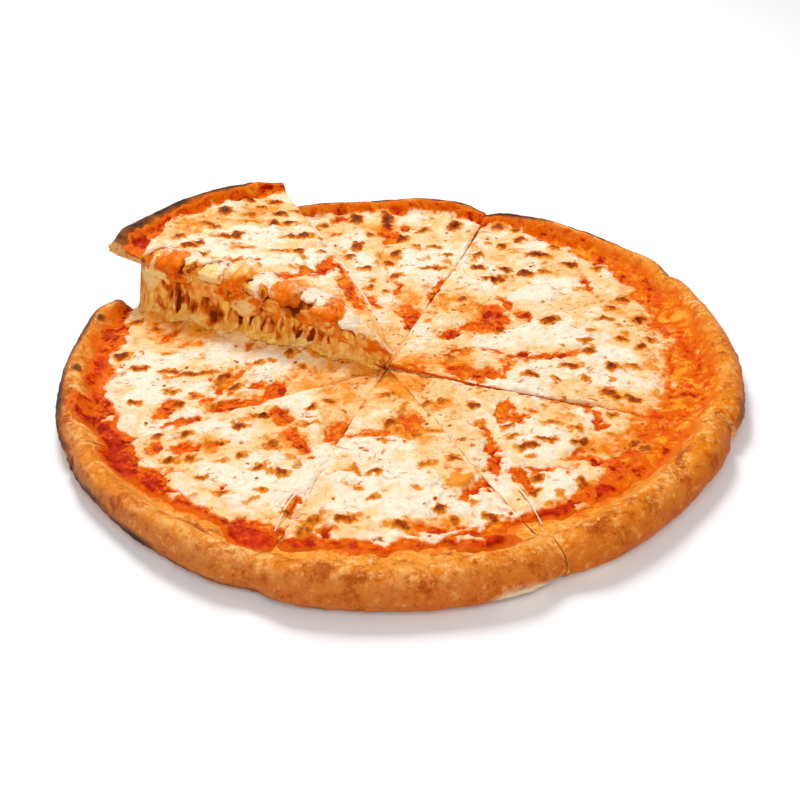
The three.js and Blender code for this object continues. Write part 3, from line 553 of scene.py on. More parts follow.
def cheeseOver(wedge, f):
    # the melted cheese's top, with how warm, stained and toasted it is
    seed = wedge["seed"] * 100

    def uneven(size, number, octaves=3):
        return rough(f.x, f.y, size, seed + number, octaves)

    warpX, warpY = 1.3 * uneven(8, 1), 1.3 * uneven(8, 2)
    px = f.cx + 2.2 * warpX + 1.2 * uneven(3.2, 15, 2)
    py = f.cy + 2.2 * warpY + 1.2 * uneven(3.2, 16, 2)
    tatter = uneven(4.5, 19)
    feather = between(wedge, "feather", f.t)
    border = f.inset - between(wedge, "cheese", f.t) + cheeseLook["borderWander"] * uneven(17, 3)
    border = border + (0.8 + 0.3 * feather) * tatter * smooth(8, 17, f.width)
    for island in wedge["island"]:
        border = np.maximum(border, 1.4 * tatter - ovalDistance(px, py, island))
    border = np.minimum(border, f.inset - 0.72 * f.width + 0.8 * tatter)
    cover = border
    for patch in wedge["bare"]:
        cover = np.minimum(cover, ovalDistance(px, py, patch, 0.85) + 1.3 * tatter)
    cover = np.minimum(cover, (1.1 - uneven(9, 4)) * 6)

    warm = 0.34 + 0.4 * uneven(17, 5) + 0.18 * uneven(5, 6, 2)
    for oval in wedge["warm"]:
        warm = warm + 0.5 * oval[5] * smooth(1.2, -1.0, ovalShare(px, py, oval))
    for oval in wedge["pale"]:
        warm = warm - 0.5 * smooth(1.0, -1.0, ovalShare(px, py, oval, 0.9))
    fromBorder, inside = np.clip(border, 0, 99), np.clip(cover, 0, 99)
    warm = np.clip(warm, 0, 1.3) + 0.6 * smooth(4, 12, feather) * np.exp(-fromBorder / feather)
    thin = smooth(0.55, 1.2, warm)
    fading = smooth(4, 12, feather) * bell(fromBorder, feather)
    stain = 0.85 * np.exp(-inside / 0.9) * (1 - 0.7 * fading) + 0.22 * np.exp(-inside / 3.5) * (1 + 1.3 * tatter)
    stain = stain + 0.2 * thin + 0.5 * fading * (1 + 1.5 * tatter) + 0.22 * np.exp(-f.toCut)
    stain = stain + 0.5 * smooth(0.35, 0.85, uneven(6, 7)) * smooth(0.3, 0.9, warm)

    melt = 0.75 * uneven(15, 8, 2) + 0.6 * rough(f.x + 2 * warpX, f.y + 2 * warpY, 6, seed + 9, 2)
    melt = melt + 0.05 * uneven(2.6, 10, 2)
    shreds = 0.8 * (pebbles(f.x + 2.4 * warpX, f.y + 1.6 * warpY, 7.5, seed + 11) - 0.5)
    # warmer in the hollows of the melt and shreds: partly the cheese's own golden colour, partly painted shade
    warm = warm - 0.22 * melt - 0.12 * shreds
    body = cheeseLook["thickness"] * (1.15 - 0.35 * thin) + melt + shreds
    body = np.clip(body, cheeseLook["thinnest"], cheeseLook["thickest"]) * (0.5 + 0.5 * smooth(0, 8, cover))
    folds = 1 - np.abs(rough(f.x + 3 * warpX, f.y * 1.5 + 3 * warpY, 13, seed + 12, 2))
    body = body - 0.5 * smooth(0.86, 1.0, folds)
    for x0, y0, x1, y1, wide, high in wedge.get("ridge", ()):
        dx, dy = x1 - x0, y1 - y0
        share = np.clip(((px - x0) * dx + (py - y0) * dy) / (dx ** 2 + dy ** 2), 0, 1)
        ridge = bell(np.hypot(px - x0 - share * dx, py - y0 - share * dy), wide / 2)
        body, warm, stain = body + high * ridge, warm - 0.7 * ridge, stain * (1 - 0.8 * ridge)
    toast, rise = toastedMarks(wedge, f, seed, warpX, warpY)
    body = body + rise
    for x, y, length, width, turn, high, colouring in wedge.get("blister", ()):
        away = ovalDistance(px, py, (x, y, length, width, turn)) / (0.5 * width)
        body, warm = body + high * domed(-away), warm + colouring * smooth(0.2, -0.6, away)

    share = {"left": f.t, "back": 1 - f.t}.get(wedge["name"], 1 + 0 * f.t)
    fromLifted = share * math.radians(pulledUpLook["spread"]) * f.distance
    fall = bell(np.clip(fromLifted - pulledUpLook["shelf"], 0, 99), pulledUpLook["fall"])
    pulled = pulledRidge(wedge["name"], f.distance) * fall * (0.85 + 0.3 * uneven(5, 17, 2))
    # warmer near the tip, and beside the lifted slice a painted warm shade where it and its hanging cheese shade the
    # neighbour
    warm = warm + 0.4 * bell(f.distance, 26) + 0.5 * bell(fromLifted, pulledUpLook["warmShadeWidth"])
    body = body + pulled - 0.55 * bell(f.toCut, 2.4) * smooth(1.0, 0.2, pulled)
    body = body * (0.45 + 0.55 * quarterRound(f.toCut / cheeseLook["cutRound"]))
    if wedge["name"] == "lifted":
        body = body - shoulderDrop((1 - f.t) * sliceAngle(wedge) * f.distance)

    soft = quarterRound(cover / cheeseLook["lip"]) * (1 - 0.5 * fading)
    border, sauceTop = sauceOver(wedge, f)
    ground = np.maximum(sauceTop, f.dough)
    flatGround = f.dough + np.where(border > 0, sauceLook["thickness"], 0) * smooth(0, 3, border)
    mixed = ground + (flatGround - ground) * soft
    top = np.where(cover > 0, mixed + soft * body, ground - np.clip(0.12 - 0.5 * cover, 0.12, 0.6))
    return {"top": top, "warm": warm, "stain": np.clip(stain, 0, 1.4), "toast": toast}


# bending a flat slice into its place
def liftedLine(s):
    steps = lift["steps"]
    out, up = np.zeros_like(s), np.full_like(s, lift["tipRise"])
    for k in range(steps):
        slope = slopeAt((k + 0.5) / steps * s)
        out, up = out + np.cos(slope) * s / steps, up + np.sin(slope) * s / steps
    return out, up


def slopeAt(s):
    return np.radians(lift["slope"] * np.exp(-np.maximum(s, 0) / lift["fade"]) - lift["sag"] * s / pizza["radius"])


def raised(points, mid):
    a, b, roll = math.radians(mid), math.radians(mid + lift["turn"]), math.radians(lift["roll"])
    x, y, z = points[..., 0], points[..., 1], points[..., 2]
    s, side = x * math.cos(a) + y * math.sin(a), y * math.cos(a) - x * math.sin(a)
    (out, up), slope = liftedLine(s), slopeAt(s)
    out, high = out - z * np.sin(slope), z * np.cos(slope)
    side, high = side * math.cos(roll) - high * math.sin(roll), side * math.sin(roll) + high * math.cos(roll) + up
    return np.stack([out * math.cos(b) - side * math.sin(b), out * math.sin(b) + side * math.cos(b), high], -1)


def placed(points, wedge):
    if wedge["name"] == "lifted":
        return raised(points, wedge["mid"])
    a = math.radians(wedge["mid"])
    out = points[..., 0] * math.cos(a) + points[..., 1] * math.sin(a)
    points = points.copy()
    points[..., 2] += wedge["tipRise"] * bell(out, pizza["tipCurlLength"])
    return points


# making a sheet: a grid is added, laid out, closed under itself and filled at its two cut sides; distances in metres
sheetMaking = {"merge": 0.00001, "tipSize": 0.00002, "cutCorners": 8, "sliceAngle": 50, "pullAngle": 60}


def placesOf(sheet):
    places = np.empty(len(sheet.data.vertices) * 3)
    sheet.data.vertices.foreach_get("co", places)
    return places.reshape(-1, 3)


def writeMark(piece, mark, values):
    layer = piece.data.attributes.new(mark, "FLOAT", "POINT")
    layer.data.foreach_set("value", values.astype(np.float32))


def addSheet(name, points, marks):
    columns, rows = points.shape[0] - 1, points.shape[1] - 1
    bpy.ops.object.select_all(action="DESELECT")
    bpy.ops.mesh.primitive_grid_add(x_subdivisions=columns, y_subdivisions=rows, size=1, location=(0, 0, 0))
    sheet = bpy.context.object
    sheet.name = sheet.data.name = name
    flat = placesOf(sheet)
    i = np.rint((flat[:, 0] + 0.5) * columns).astype(int)
    j = np.rint((flat[:, 1] + 0.5) * rows).astype(int)
    sheet.data.vertices.foreach_set("co", ((points[i, j] + crossing) / 1000).ravel())
    for mark, values in marks.items():
        writeMark(sheet, mark, np.broadcast_to(values, points.shape[:2])[i, j])
    side = sheet.data.attributes.new("side", "INT", "POINT")
    side.data.foreach_set("value", np.where(i == 0, 1, np.where(i == columns, 2, 0)).astype(np.int32))
    sheet.data.update()
    return sheet


def choose(sheet, kind, wanted):
    # in edit mode, only the vertices or edges that are wanted stay chosen
    bpy.ops.object.mode_set(mode="OBJECT")
    for part in ("vertices", "edges", "polygons"):
        elements = getattr(sheet.data, part)
        elements.foreach_set("select", wanted if part == kind else np.zeros(len(elements), bool))
    bpy.ops.object.mode_set(mode="EDIT")


def sideOf(sheet):
    values = np.zeros(len(sheet.data.vertices), np.int32)
    sheet.data.attributes["side"].data.foreach_get("value", values)
    return values


def endSheet(sheet, hardAngle):
    # faces point outwards, and edges sharper than the angle stay hard
    bpy.ops.mesh.select_all(action="SELECT")
    bpy.ops.mesh.normals_make_consistent(inside=False)
    bpy.ops.object.mode_set(mode="OBJECT")
    sheet.data.attributes.remove(sheet.data.attributes["side"])
    bpy.ops.object.shade_smooth_by_angle(angle=math.radians(hardAngle))


def closeSheet(sheet, tips, cutSlot):
    # tips are the two places, above and below, where a slice's sheet comes to its point
    bpy.ops.object.mode_set(mode="EDIT")
    bpy.ops.mesh.select_mode(type="VERT")
    bpy.ops.mesh.select_all(action="SELECT")
    bpy.ops.mesh.remove_doubles(threshold=sheetMaking["merge"])
    for which in (1, 2):
        bpy.ops.object.mode_set(mode="OBJECT")
        places = placesOf(sheet)
        wanted = sideOf(sheet) == which
        for tip in tips:
            wanted |= np.linalg.norm(places - tip, axis=1) < sheetMaking["tipSize"]
        choose(sheet, "vertices", wanted)
        bpy.ops.mesh.edge_face_add()
        bpy.ops.object.mode_set(mode="OBJECT")
        for face in sheet.data.polygons:
            if len(face.vertices) > sheetMaking["cutCorners"]:
                face.material_index = cutSlot
        bpy.ops.object.mode_set(mode="EDIT")
    endSheet(sheet, sheetMaking["sliceAngle"])


def finishPiece(piece, node, slot, *materials):
    for material in materials:
        piece.data.materials.append(material)
    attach(piece, "root")
    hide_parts(node)


layerNames = {"dough": "crust_", "sauce": "tomato_", "cheese": "mozzarella_"}


def makeLayer(kind, wedge, points, marks, *looks):
    # puts one layer of a slice in its place; its cut faces take the last look
    points = placed(points, wedge)
    sheet = addSheet(layerNames[kind] + wedge["name"], points, marks)
    closeSheet(sheet, (points[0, [0, -1]] + crossing) / 1000, len(looks) - 1)
    finishPiece(sheet, kind + "_" + wedge["name"], kind, *looks)


def spacing(columns):
    # columns stand closer together beside the cuts
    even = np.linspace(0, 1, columns + 1)
    return 0.4 * even + 0.6 * (0.5 - 0.5 * np.cos(math.pi * even))


# shader helpers
def colour(red, green, blue):
    # from 0-255 as on a screen to the shader's own scale
    shares = [c / 255 for c in (red, green, blue)]
    return tuple(c / 12.92 if c <= 0.04 else ((c + 0.055) / 1.055) ** 2.4 for c in shares) + (1.0,)


class Nodes:
    def __init__(self, tree):
        self.tree = tree

    def add(self, kind, links, **settings):
        made = self.tree.nodes.new(kind)
        for key, value in settings.items():
            setattr(made, key, value)
        for key, value in links.items():
            if isinstance(value, bpy.types.NodeSocket):
                self.tree.links.new(value, made.inputs[key])
            else:
                made.inputs[key].default_value = value
        return made

    def group(self, tree, **links):
        return self.add("ShaderNodeGroup", links, node_tree=tree).outputs

    def mark(self, name):
        return self.add("ShaderNodeAttribute", {}, attribute_name=name).outputs["Fac"]

    def math(self, operation, a, b, clamp=False):
        return self.add("ShaderNodeMath", {0: a, 1: b}, operation=operation, use_clamp=clamp).outputs[0]

    def plus(self, a, b):
        return self.math("ADD", a, b)

    def minus(self, a, b):
        return self.math("SUBTRACT", a, b)

    def times(self, a, b, clamp=False):
        return self.math("MULTIPLY", a, b, clamp)

    def total(self, *parts):
        # values added up, each with its weight
        result = self.times(*parts[0])
        for part in parts[1:]:
            result = self.plus(result, self.times(*part))
        return result

    def stir(self, value, noise, amount):
        # a noise around 0.5 pushes a value up and down
        return self.plus(value, self.times(self.minus(noise, 0.5), amount))

    def frayed(self, mark, low, high, *noises):
        # a mark with a ragged border, that stays 0 where the mark is 0
        value = mark
        for noise, amount in noises:
            value = self.stir(value, noise, amount)
        return self.times(value, self.span(mark, low, high))

    def span(self, value, low, high, toLow=0.0, toHigh=1.0):
        links = {"Value": value, "From Min": low, "From Max": high, "To Min": toLow, "To Max": toHigh}
        return self.add("ShaderNodeMapRange", links, interpolation_type="SMOOTHSTEP").outputs["Result"]

    def noise(self, place, scale, detail, roughness, distortion=0.0):
        links = {"Vector": place, "Scale": scale, "Detail": detail, "Roughness": roughness, "Distortion": distortion}
        return self.add("ShaderNodeTexNoise", links).outputs["Fac"]

    def cells(self, place, scale):
        return self.add("ShaderNodeTexVoronoi", {"Vector": place, "Scale": scale}).outputs["Distance"]

    def stretched(self, place, scale, turn=0.0):
        links = {"Vector": place, "Rotation": (0.0, 0.0, turn), "Scale": scale}
        return self.add("ShaderNodeMapping", links).outputs["Vector"]

    def blend(self, factor, a, b, kind="MIX"):
        return self.add("ShaderNodeMix", {0: factor, 6: a, 7: b}, data_type="RGBA", blend_type=kind).outputs[2]

    def grade(self, value, shade, *steps):
        # colours laid over a shade, each as the value goes from its low to its high
        for low, high, tint in steps:
            shade = self.blend(self.span(value, low, high), shade, colour(*tint))
        return shade

    def lay(self, shade, tint, mask, strength):
        return self.blend(self.times(mask, strength), shade, colour(*tint))

    def bump(self, height, distance, strength):
        links = {"Height": height, "Distance": distance, "Strength": strength}
        return self.add("ShaderNodeBump", links).outputs["Normal"]


def startMaterial(name):
    material = bpy.data.materials.new(name)
    material.use_nodes = True
    material.node_tree.nodes.clear()
    nodes = Nodes(material.node_tree)
    return material, nodes, nodes.add("ShaderNodeTexCoord", {}).outputs["Object"]


def endMaterial(material, nodes, **sockets):
    names = {
        "baseColor": "Base Color", "roughness": "Roughness", "normal": "Normal", "specular": "Specular IOR Level",
        "specularTint": "Specular Tint", "subsurface": "Subsurface Weight", "subsurfaceRadius": "Subsurface Radius",
        "subsurfaceScale": "Subsurface Scale",
    }
    shader = nodes.add("ShaderNodeBsdfPrincipled", {names[key]: value for key, value in sockets.items()})
    nodes.add("ShaderNodeOutputMaterial", {"Surface": shader.outputs[0]})
    return material


def makeGroup(name, inputs, outputs):
    tree = bpy.data.node_groups.new(name, "ShaderNodeTree")
    for label, kind, value in inputs:
        socket = tree.interface.new_socket(name=label, in_out="INPUT", socket_type="NodeSocket" + kind)
        if value is not None:
            socket.default_value = value
    for label, kind in outputs:
        tree.interface.new_socket(name=label, in_out="OUTPUT", socket_type="NodeSocket" + kind)
    nodes = Nodes(tree)
    return tree, nodes, nodes.add("NodeGroupInput", {}).outputs, nodes.add("NodeGroupOutput", {}).inputs


# all tints are as on a screen, from 0 to 255
toastTints = {"ring": (228, 136, 28), "middle": (160, 60, 2), "char": (96, 30, 0), "glint": (238, 170, 100)}


def toastingGroup():
    # turns a "toast" mark into a tan ring and a dark, blistered middle over any colour
    tree, nodes, given, out = makeGroup(
        "toasting",
        [("Vector", "Vector", None), ("Toast", "Float", 0.0), ("Color", "Color", None),
         ("Ring", "Color", colour(*toastTints["ring"])), ("Middle", "Color", colour(*toastTints["middle"])),
         ("Char", "Color", colour(*toastTints["char"]))],
        [("Color", "Color"), ("Dark", "Float")])
    ragged = nodes.noise(given["Vector"], 700, 4, 0.7)
    patchy = nodes.noise(given["Vector"], 380, 3, 0.6)
    toast = nodes.frayed(given["Toast"], 0.01, 0.12, (ragged, 0.7), (patchy, 0.35))
    middle = nodes.span(toast, 0.44, 0.82)
    shade = nodes.blend(nodes.span(toast, 0.13, 0.42), given["Color"], given["Ring"])
    shade = nodes.blend(middle, shade, given["Middle"])
    shade = nodes.blend(nodes.span(toast, 0.82, 1.2), shade, given["Char"])
    # painted highlights: pale glints laid into the dark middles
    shade = nodes.lay(shade, toastTints["glint"], nodes.times(nodes.span(ragged, 0.66, 0.74), middle), 0.7)
    tree.links.new(shade, out["Color"])
    tree.links.new(middle, out["Dark"])
    return tree


toasting = toastingGroup()


cheeseTints = {
    "cream": (243, 226, 201), "warm": (243, 198, 137), "golden": (234, 144, 38), "streak": (216, 126, 26),
    "core": (162, 74, 12), "soaked": (229, 116, 8), "deep": (222, 66, 0), "fleck": (214, 118, 22),
    "fleckCore": (128, 48, 4),
}


def cheeseColourGroup():
    # cream to golden by "Warm", orange to red by "Stain", with ochre streaks and flecks
    tree, nodes, given, out = makeGroup(
        "cheese colour",
        [("Vector", "Vector", None), ("Warm", "Float", 0.0), ("Stain", "Float", 0.0),
         ("Deep", "Color", colour(*cheeseTints["deep"]))],
        [("Color", "Color"), ("Height", "Float")])
    place, warm, stain = (given[key] for key in ("Vector", "Warm", "Stain"))
    broad = nodes.noise(place, 110, 4, 0.6, 0.4)
    small = nodes.noise(place, 300, 4, 0.62, 0.5)
    fine = nodes.noise(place, 1200, 3, 0.6)
    warmth = nodes.stir(nodes.stir(warm, broad, 1.0), small, 0.8)
    shade = nodes.grade(warmth, colour(*cheeseTints["cream"]), (0.0, 0.62, cheeseTints["warm"]),
                        (0.6, 1.3, cheeseTints["golden"]))
    streaks = nodes.noise(nodes.stretched(place, (0.55, 1.0, 1.0), 0.12), 330, 3, 0.6, 0.7)
    gate = nodes.plus(nodes.span(nodes.noise(place, 80, 3, 0.5), 0.42, 0.6), nodes.times(warm, 0.35))
    streak = nodes.times(nodes.span(streaks, 0.55, 0.65), gate, True)
    core = nodes.times(nodes.span(streaks, 0.62, 0.72), gate, True)
    shade = nodes.lay(shade, cheeseTints["streak"], streak, 0.8)
    shade = nodes.lay(shade, cheeseTints["core"], core, 0.85)
    soak = nodes.frayed(stain, 0.02, 0.3, (small, 1.3), (fine, 0.4))
    shade = nodes.grade(soak, shade, (0.22, 0.75, cheeseTints["soaked"]))
    shade = nodes.blend(nodes.span(soak, 0.72, 1.2), shade, given["Deep"])
    dots = nodes.stir(nodes.cells(place, 135), fine, 0.16)
    sparse = nodes.span(nodes.noise(place, 60, 3, 0.5), 0.42, 0.56)
    shade = nodes.lay(shade, cheeseTints["fleck"], nodes.span(dots, 0.17, 0.1), sparse)
    shade = nodes.lay(shade, cheeseTints["fleckCore"], nodes.span(dots, 0.1, 0.05), sparse)
    height = nodes.total((nodes.noise(place, 120, 3, 0.45, 0.5), 1.1), (fine, 0.05), (streak, -0.12))
    tree.links.new(shade, out["Color"])
    tree.links.new(height, out["Height"])
    return tree


cheeseColour = cheeseColourGroup()


# how far light enters each stuff, and how strong and how warm its shine is
surfaces = {
    "cheese": {
        "subsurface": 0.1, "subsurfaceRadius": (1.0, 0.5, 0.2), "subsurfaceScale": 0.0015,
        "specular": 0.12, "specularTint": (1.0, 0.78, 0.5, 1.0)},
    "sauce": {
        "subsurface": 0.04, "subsurfaceRadius": (1.0, 0.25, 0.1), "subsurfaceScale": 0.0015,
        "specular": 0.07, "specularTint": (1.0, 0.46, 0.16, 1.0)},
    "crust": {
        "subsurface": 0.04, "subsurfaceRadius": (1.0, 0.5, 0.2), "subsurfaceScale": 0.002,
        "specular": 0.08, "specularTint": (1.0, 0.66, 0.36, 1.0)},
    "crumb": {
        "subsurface": 0.15, "subsurfaceRadius": (1.0, 0.6, 0.3), "subsurfaceScale": 0.002, "specular": 0.3},
    "stretched": {
        "subsurface": 0.1, "subsurfaceRadius": (1.0, 0.45, 0.12), "subsurfaceScale": 0.001,
        "specular": 0.1, "specularTint": (1.0, 0.7, 0.34, 1.0)},
}


def meltedCheese():
    material, nodes, place = startMaterial("melted mozzarella")
    mottled = nodes.group(cheeseColour, Vector=place, Warm=nodes.mark("warm"), Stain=nodes.mark("stain"))
    toasted = nodes.group(toasting, Vector=place, Toast=nodes.mark("toast"), Color=mottled["Color"])
    grain = nodes.times(nodes.noise(place, 1100, 3, 0.6), 0.7)
    height = nodes.plus(mottled["Height"], nodes.times(toasted["Dark"], grain))
    roughness = nodes.span(nodes.noise(place, 260, 3, 0.6), 0.3, 0.7, 0.27, 0.48)
    roughness = nodes.plus(roughness, nodes.times(toasted["Dark"], 0.04))
    return endMaterial(material, nodes, baseColor=toasted["Color"], roughness=roughness,
                       normal=nodes.bump(height, 0.0012, 0.34), **surfaces["cheese"])


sauceTints = {
    "deep": (152, 18, 0), "red": (208, 48, 0), "pulp": (232, 110, 18), "mellow": (222, 92, 0),
    "orange": (238, 142, 24), "oil": (240, 170, 66), "border": (230, 108, 14),
}


def tomatoSauce():
    material, nodes, place = startMaterial("tomato sauce")
    pulp = nodes.noise(place, 280, 5, 0.65, 0.4)
    broad = nodes.noise(place, 70, 3, 0.6)
    fine = nodes.noise(place, 900, 3, 0.6)
    patches = nodes.noise(place, 110, 4, 0.7, 0.6)
    mixed = nodes.total((pulp, 0.6), (broad, 0.4))
    shade = nodes.grade(mixed, colour(*sauceTints["deep"]), (0.4, 0.6, sauceTints["red"]))
    shade = nodes.grade(nodes.plus(pulp, nodes.times(fine, 0.2)), shade, (0.66, 0.84, sauceTints["pulp"]))
    mellow = nodes.frayed(nodes.mark("mellow"), 0.02, 0.3, (pulp, 1.2), (patches, 3.4))
    shade = nodes.grade(mellow, shade, (0.28, 0.6, sauceTints["mellow"]), (0.72, 1.1, sauceTints["orange"]),
                        (1.05, 1.45, sauceTints["oil"]))
    border = nodes.span(nodes.plus(nodes.mark("edge"), nodes.minus(pulp, 0.5)), 0.3, 1.0, 0.0, 0.75)
    shade = nodes.blend(border, shade, colour(*sauceTints["border"]))
    height = nodes.total((pulp, 0.9), (fine, 0.12))
    roughness = nodes.span(nodes.noise(place, 400, 3, 0.6), 0.3, 0.7, 0.14, 0.34)
    return endMaterial(material, nodes, baseColor=shade, roughness=roughness,
                       normal=nodes.bump(height, 0.0012, 0.8), **surfaces["sauce"])


# from the slope inside the rim over its crest and side to the foot, then what lies over that
# the lighter slope and darker side are partly the crust's own browning and partly painted light and shade
crustTints = {
    "slope": (240, 152, 38), "crest": (230, 128, 12), "shoulder": (222, 114, 14), "side": (204, 96, 10),
    "foot": (208, 116, 40), "tanned": (198, 124, 70), "golden": (250, 190, 104), "grain": (252, 206, 134),
    "brown": (172, 72, 6), "under": (214, 150, 88), "underDark": (120, 66, 32), "paleBlot": (246, 176, 88),
    "darkBlot": (168, 70, 6), "speck": (140, 54, 8), "oil": (230, 112, 22), "sauce": (206, 58, 8),
    "flour": (242, 210, 168), "scorched": (142, 76, 34), "charred": (62, 38, 28),
}


def bakedCrust():
    # "around" and "profile" lead along and across the rim, so its skin runs with it
    material, nodes, place = startMaterial("baked crust")
    profile, char, flour, smear, tan = (nodes.mark(key) for key in ("profile", "char", "flour", "smear", "tan"))
    skin = nodes.add("ShaderNodeCombineXYZ", {"X": nodes.mark("around"), "Y": nodes.times(profile, 0.009)}).outputs[0]
    broad = nodes.noise(place, 45, 4, 0.6)
    blots = nodes.noise(place, 95, 5, 0.7, 0.5)
    small = nodes.noise(place, 230, 5, 0.7)
    fine = nodes.noise(place, 900, 4, 0.7)
    drawn = nodes.noise(nodes.stretched(skin, (0.35, 1.0, 1.0)), 260, 4, 0.65, 0.3)
    along = nodes.stir(nodes.stir(profile, broad, 1.1), drawn, 0.9)
    # painted light and shade in part: lighter on the slope, darker down the side
    shade = nodes.grade(along, colour(*crustTints["slope"]), (0.1, 1.0, crustTints["crest"]),
                        (1.0, 1.5, crustTints["shoulder"]), (1.5, 2.0, crustTints["side"]),
                        (2.2, 2.5, crustTints["foot"]))
    tanned = nodes.times(tan, nodes.span(along, 0.8, 1.5, 0.2, 1.0))
    shade = nodes.lay(shade, crustTints["tanned"], tanned, 0.85)
    golden = nodes.times(nodes.span(blots, 0.5, 0.62), nodes.span(profile, 1.6, 0.9, 0.1, 1.0))
    golden = nodes.times(golden, nodes.span(tan, 0.0, 0.9, 0.35, 1.0))
    shade = nodes.lay(shade, crustTints["golden"], golden, 0.85)
    grains = nodes.span(nodes.noise(place, 420, 4, 0.7), 0.5, 0.6)
    grains = nodes.times(grains, nodes.span(profile, 1.7, 0.8, 0.0, 0.75))
    shade = nodes.lay(shade, crustTints["grain"], grains, nodes.span(broad, 0.44, 0.56, 0.2, 1.0))
    brown = nodes.times(nodes.span(blots, 0.47, 0.37), nodes.span(broad, 0.4, 0.54))
    shade = nodes.lay(shade, crustTints["brown"], brown, 0.85)
    under = nodes.grade(nodes.noise(place, 60, 4, 0.6), colour(*crustTints["under"]),
                        (0.45, 0.62, crustTints["underDark"]))
    shade = nodes.blend(nodes.span(profile, 2.86, 3.02), shade, under)
    shade = nodes.lay(shade, crustTints["paleBlot"], nodes.span(small, 0.54, 0.68), 0.55)
    shade = nodes.lay(shade, crustTints["darkBlot"], nodes.span(small, 0.47, 0.35), 0.6)
    speck = nodes.times(nodes.span(fine, 0.55, 0.66), nodes.span(blots, 0.52, 0.44))
    shade = nodes.lay(shade, crustTints["speck"], speck, 0.75)
    soak = nodes.frayed(smear, 0.02, 0.25, (nodes.noise(place, 240, 5, 0.65), 1.6))
    shade = nodes.grade(soak, shade, (0.3, 0.8, crustTints["oil"]), (0.75, 1.15, crustTints["sauce"]))
    dust = nodes.frayed(flour, 0.02, 0.3, (small, 0.5))
    shade = nodes.grade(dust, shade, (0.3, 0.85, crustTints["flour"]))
    # browned and blackened by the char mark: char, and low on the front left painted shade along the foot
    burn = nodes.frayed(char, 0.02, 0.25, (small, 0.9), (fine, 0.5))
    shade = nodes.grade(burn, shade, (0.15, 0.6, crustTints["scorched"]), (0.55, 0.95, crustTints["charred"]))
    height = nodes.total((small, 0.8), (fine, 0.2), (drawn, 0.5), (blots, 1.1))
    roughness = nodes.span(nodes.total((broad, 0.5), (small, 0.5)), 0.38, 0.62, 0.36, 0.6)
    return endMaterial(material, nodes, baseColor=shade, roughness=roughness,
                       normal=nodes.bump(height, 0.001, 0.8), **surfaces["crust"])


crumbTints = {"pale": (238, 184, 112), "dark": (208, 134, 58), "hole": (172, 104, 48)}


def crumb():
    material, nodes, place = startMaterial("open crumb")
    bubbles = nodes.cells(place, 420)
    small = nodes.noise(place, 500, 4, 0.6)
    shade = nodes.grade(small, colour(*crumbTints["pale"]), (0.35, 0.7, crumbTints["dark"]))
    # painted shade darkens the crumb's pits
    shade = nodes.blend(nodes.span(bubbles, 0.42, 0.1, 0.0, 0.5), shade, colour(*crumbTints["hole"]))
    height = nodes.plus(nodes.span(bubbles, 0.0, 0.5), nodes.times(small, 0.5))
    return endMaterial(material, nodes, baseColor=shade, roughness=0.8,
                       normal=nodes.bump(height, 0.001, 0.8), **surfaces["crumb"])


pullTints = {
    "pale": (252, 200, 92), "golden": (218, 128, 20), "thread": (252, 220, 154), "stain": (222, 70, 0),
    "stainLight": (248, 142, 16), "shadedFaceTint": (255, 226, 148), "hollowShade": (202, 92, 10), "deepHollowShade": (118, 38, 2),
}


def stretchedCheese():
    material, nodes, place = startMaterial("stretched cheese")
    depth, over, top = (nodes.mark(key) for key in ("depth", "over", "top"))
    long = nodes.stretched(place, (1.0, 1.0, 0.25))
    streaks = nodes.noise(long, 380, 4, 0.65, 0.3)
    small = nodes.noise(place, 300, 4, 0.62, 0.5)
    fine = nodes.noise(place, 1200, 3, 0.6)
    pulled = nodes.grade(streaks, colour(*pullTints["pale"]), (0.35, 0.66, pullTints["golden"]))
    threads = nodes.span(nodes.noise(long, 640, 3, 0.6), 0.54, 0.66, 0.0, 0.7)
    pulled = nodes.blend(threads, pulled, colour(*pullTints["thread"]))
    deep = nodes.grade(nodes.noise(place, 420, 4, 0.7), colour(*pullTints["stain"]),
                       (0.38, 0.6, pullTints["stainLight"]))
    mottled = nodes.group(cheeseColour, Vector=place, Warm=nodes.mark("warm"), Stain=nodes.mark("stain"), Deep=deep)
    # the face below the top is tinted golden: partly the stretched cheese's own colour, partly painted warm shade
    golden = nodes.span(top, 0.0, 1.0, 0.85, 0.0)
    golden = nodes.blend(golden, mottled["Color"], colour(*pullTints["shadedFaceTint"]), "MULTIPLY")
    shade = nodes.blend(over, pulled, golden)
    # painted shade: the depth mark darkens crevices, the webs between strands and the hollows under the tongues
    shadow = nodes.frayed(depth, 0.02, 0.3, (streaks, 1.3))
    shade = nodes.grade(shadow, shade, (0.18, 0.7, pullTints["hollowShade"]), (0.62, 1.2, pullTints["deepHollowShade"]))
    toasted = nodes.group(toasting, Vector=place, Toast=nodes.mark("toast"), Color=shade)
    height = nodes.total((streaks, 0.5), (small, 0.5), (fine, 0.12))
    return endMaterial(material, nodes, baseColor=toasted["Color"], roughness=nodes.span(small, 0.3, 0.7, 0.16, 0.36),
                       normal=nodes.bump(height, 0.001, 0.7), **surfaces["stretched"])


materials = {
    "cheese": meltedCheese(), "sauce": tomatoSauce(), "crust": bakedCrust(), "crumb": crumb(),
    "pull": stretchedCheese(),
}
print("materials made")

# dough: rows of each part of a slice's sheet, with the profile's value under it and the curl of the lifted corner
doughSheet = {
    "columns": 150, "base": 26, "innerSlope": 30, "shoulder": 20, "foot": 12, "underside": 24, "underProfile": 3.2,
    "curl": 4.0, "curlWidth": 15, "charLevel": 0.86, "charWander": 0.34,
}
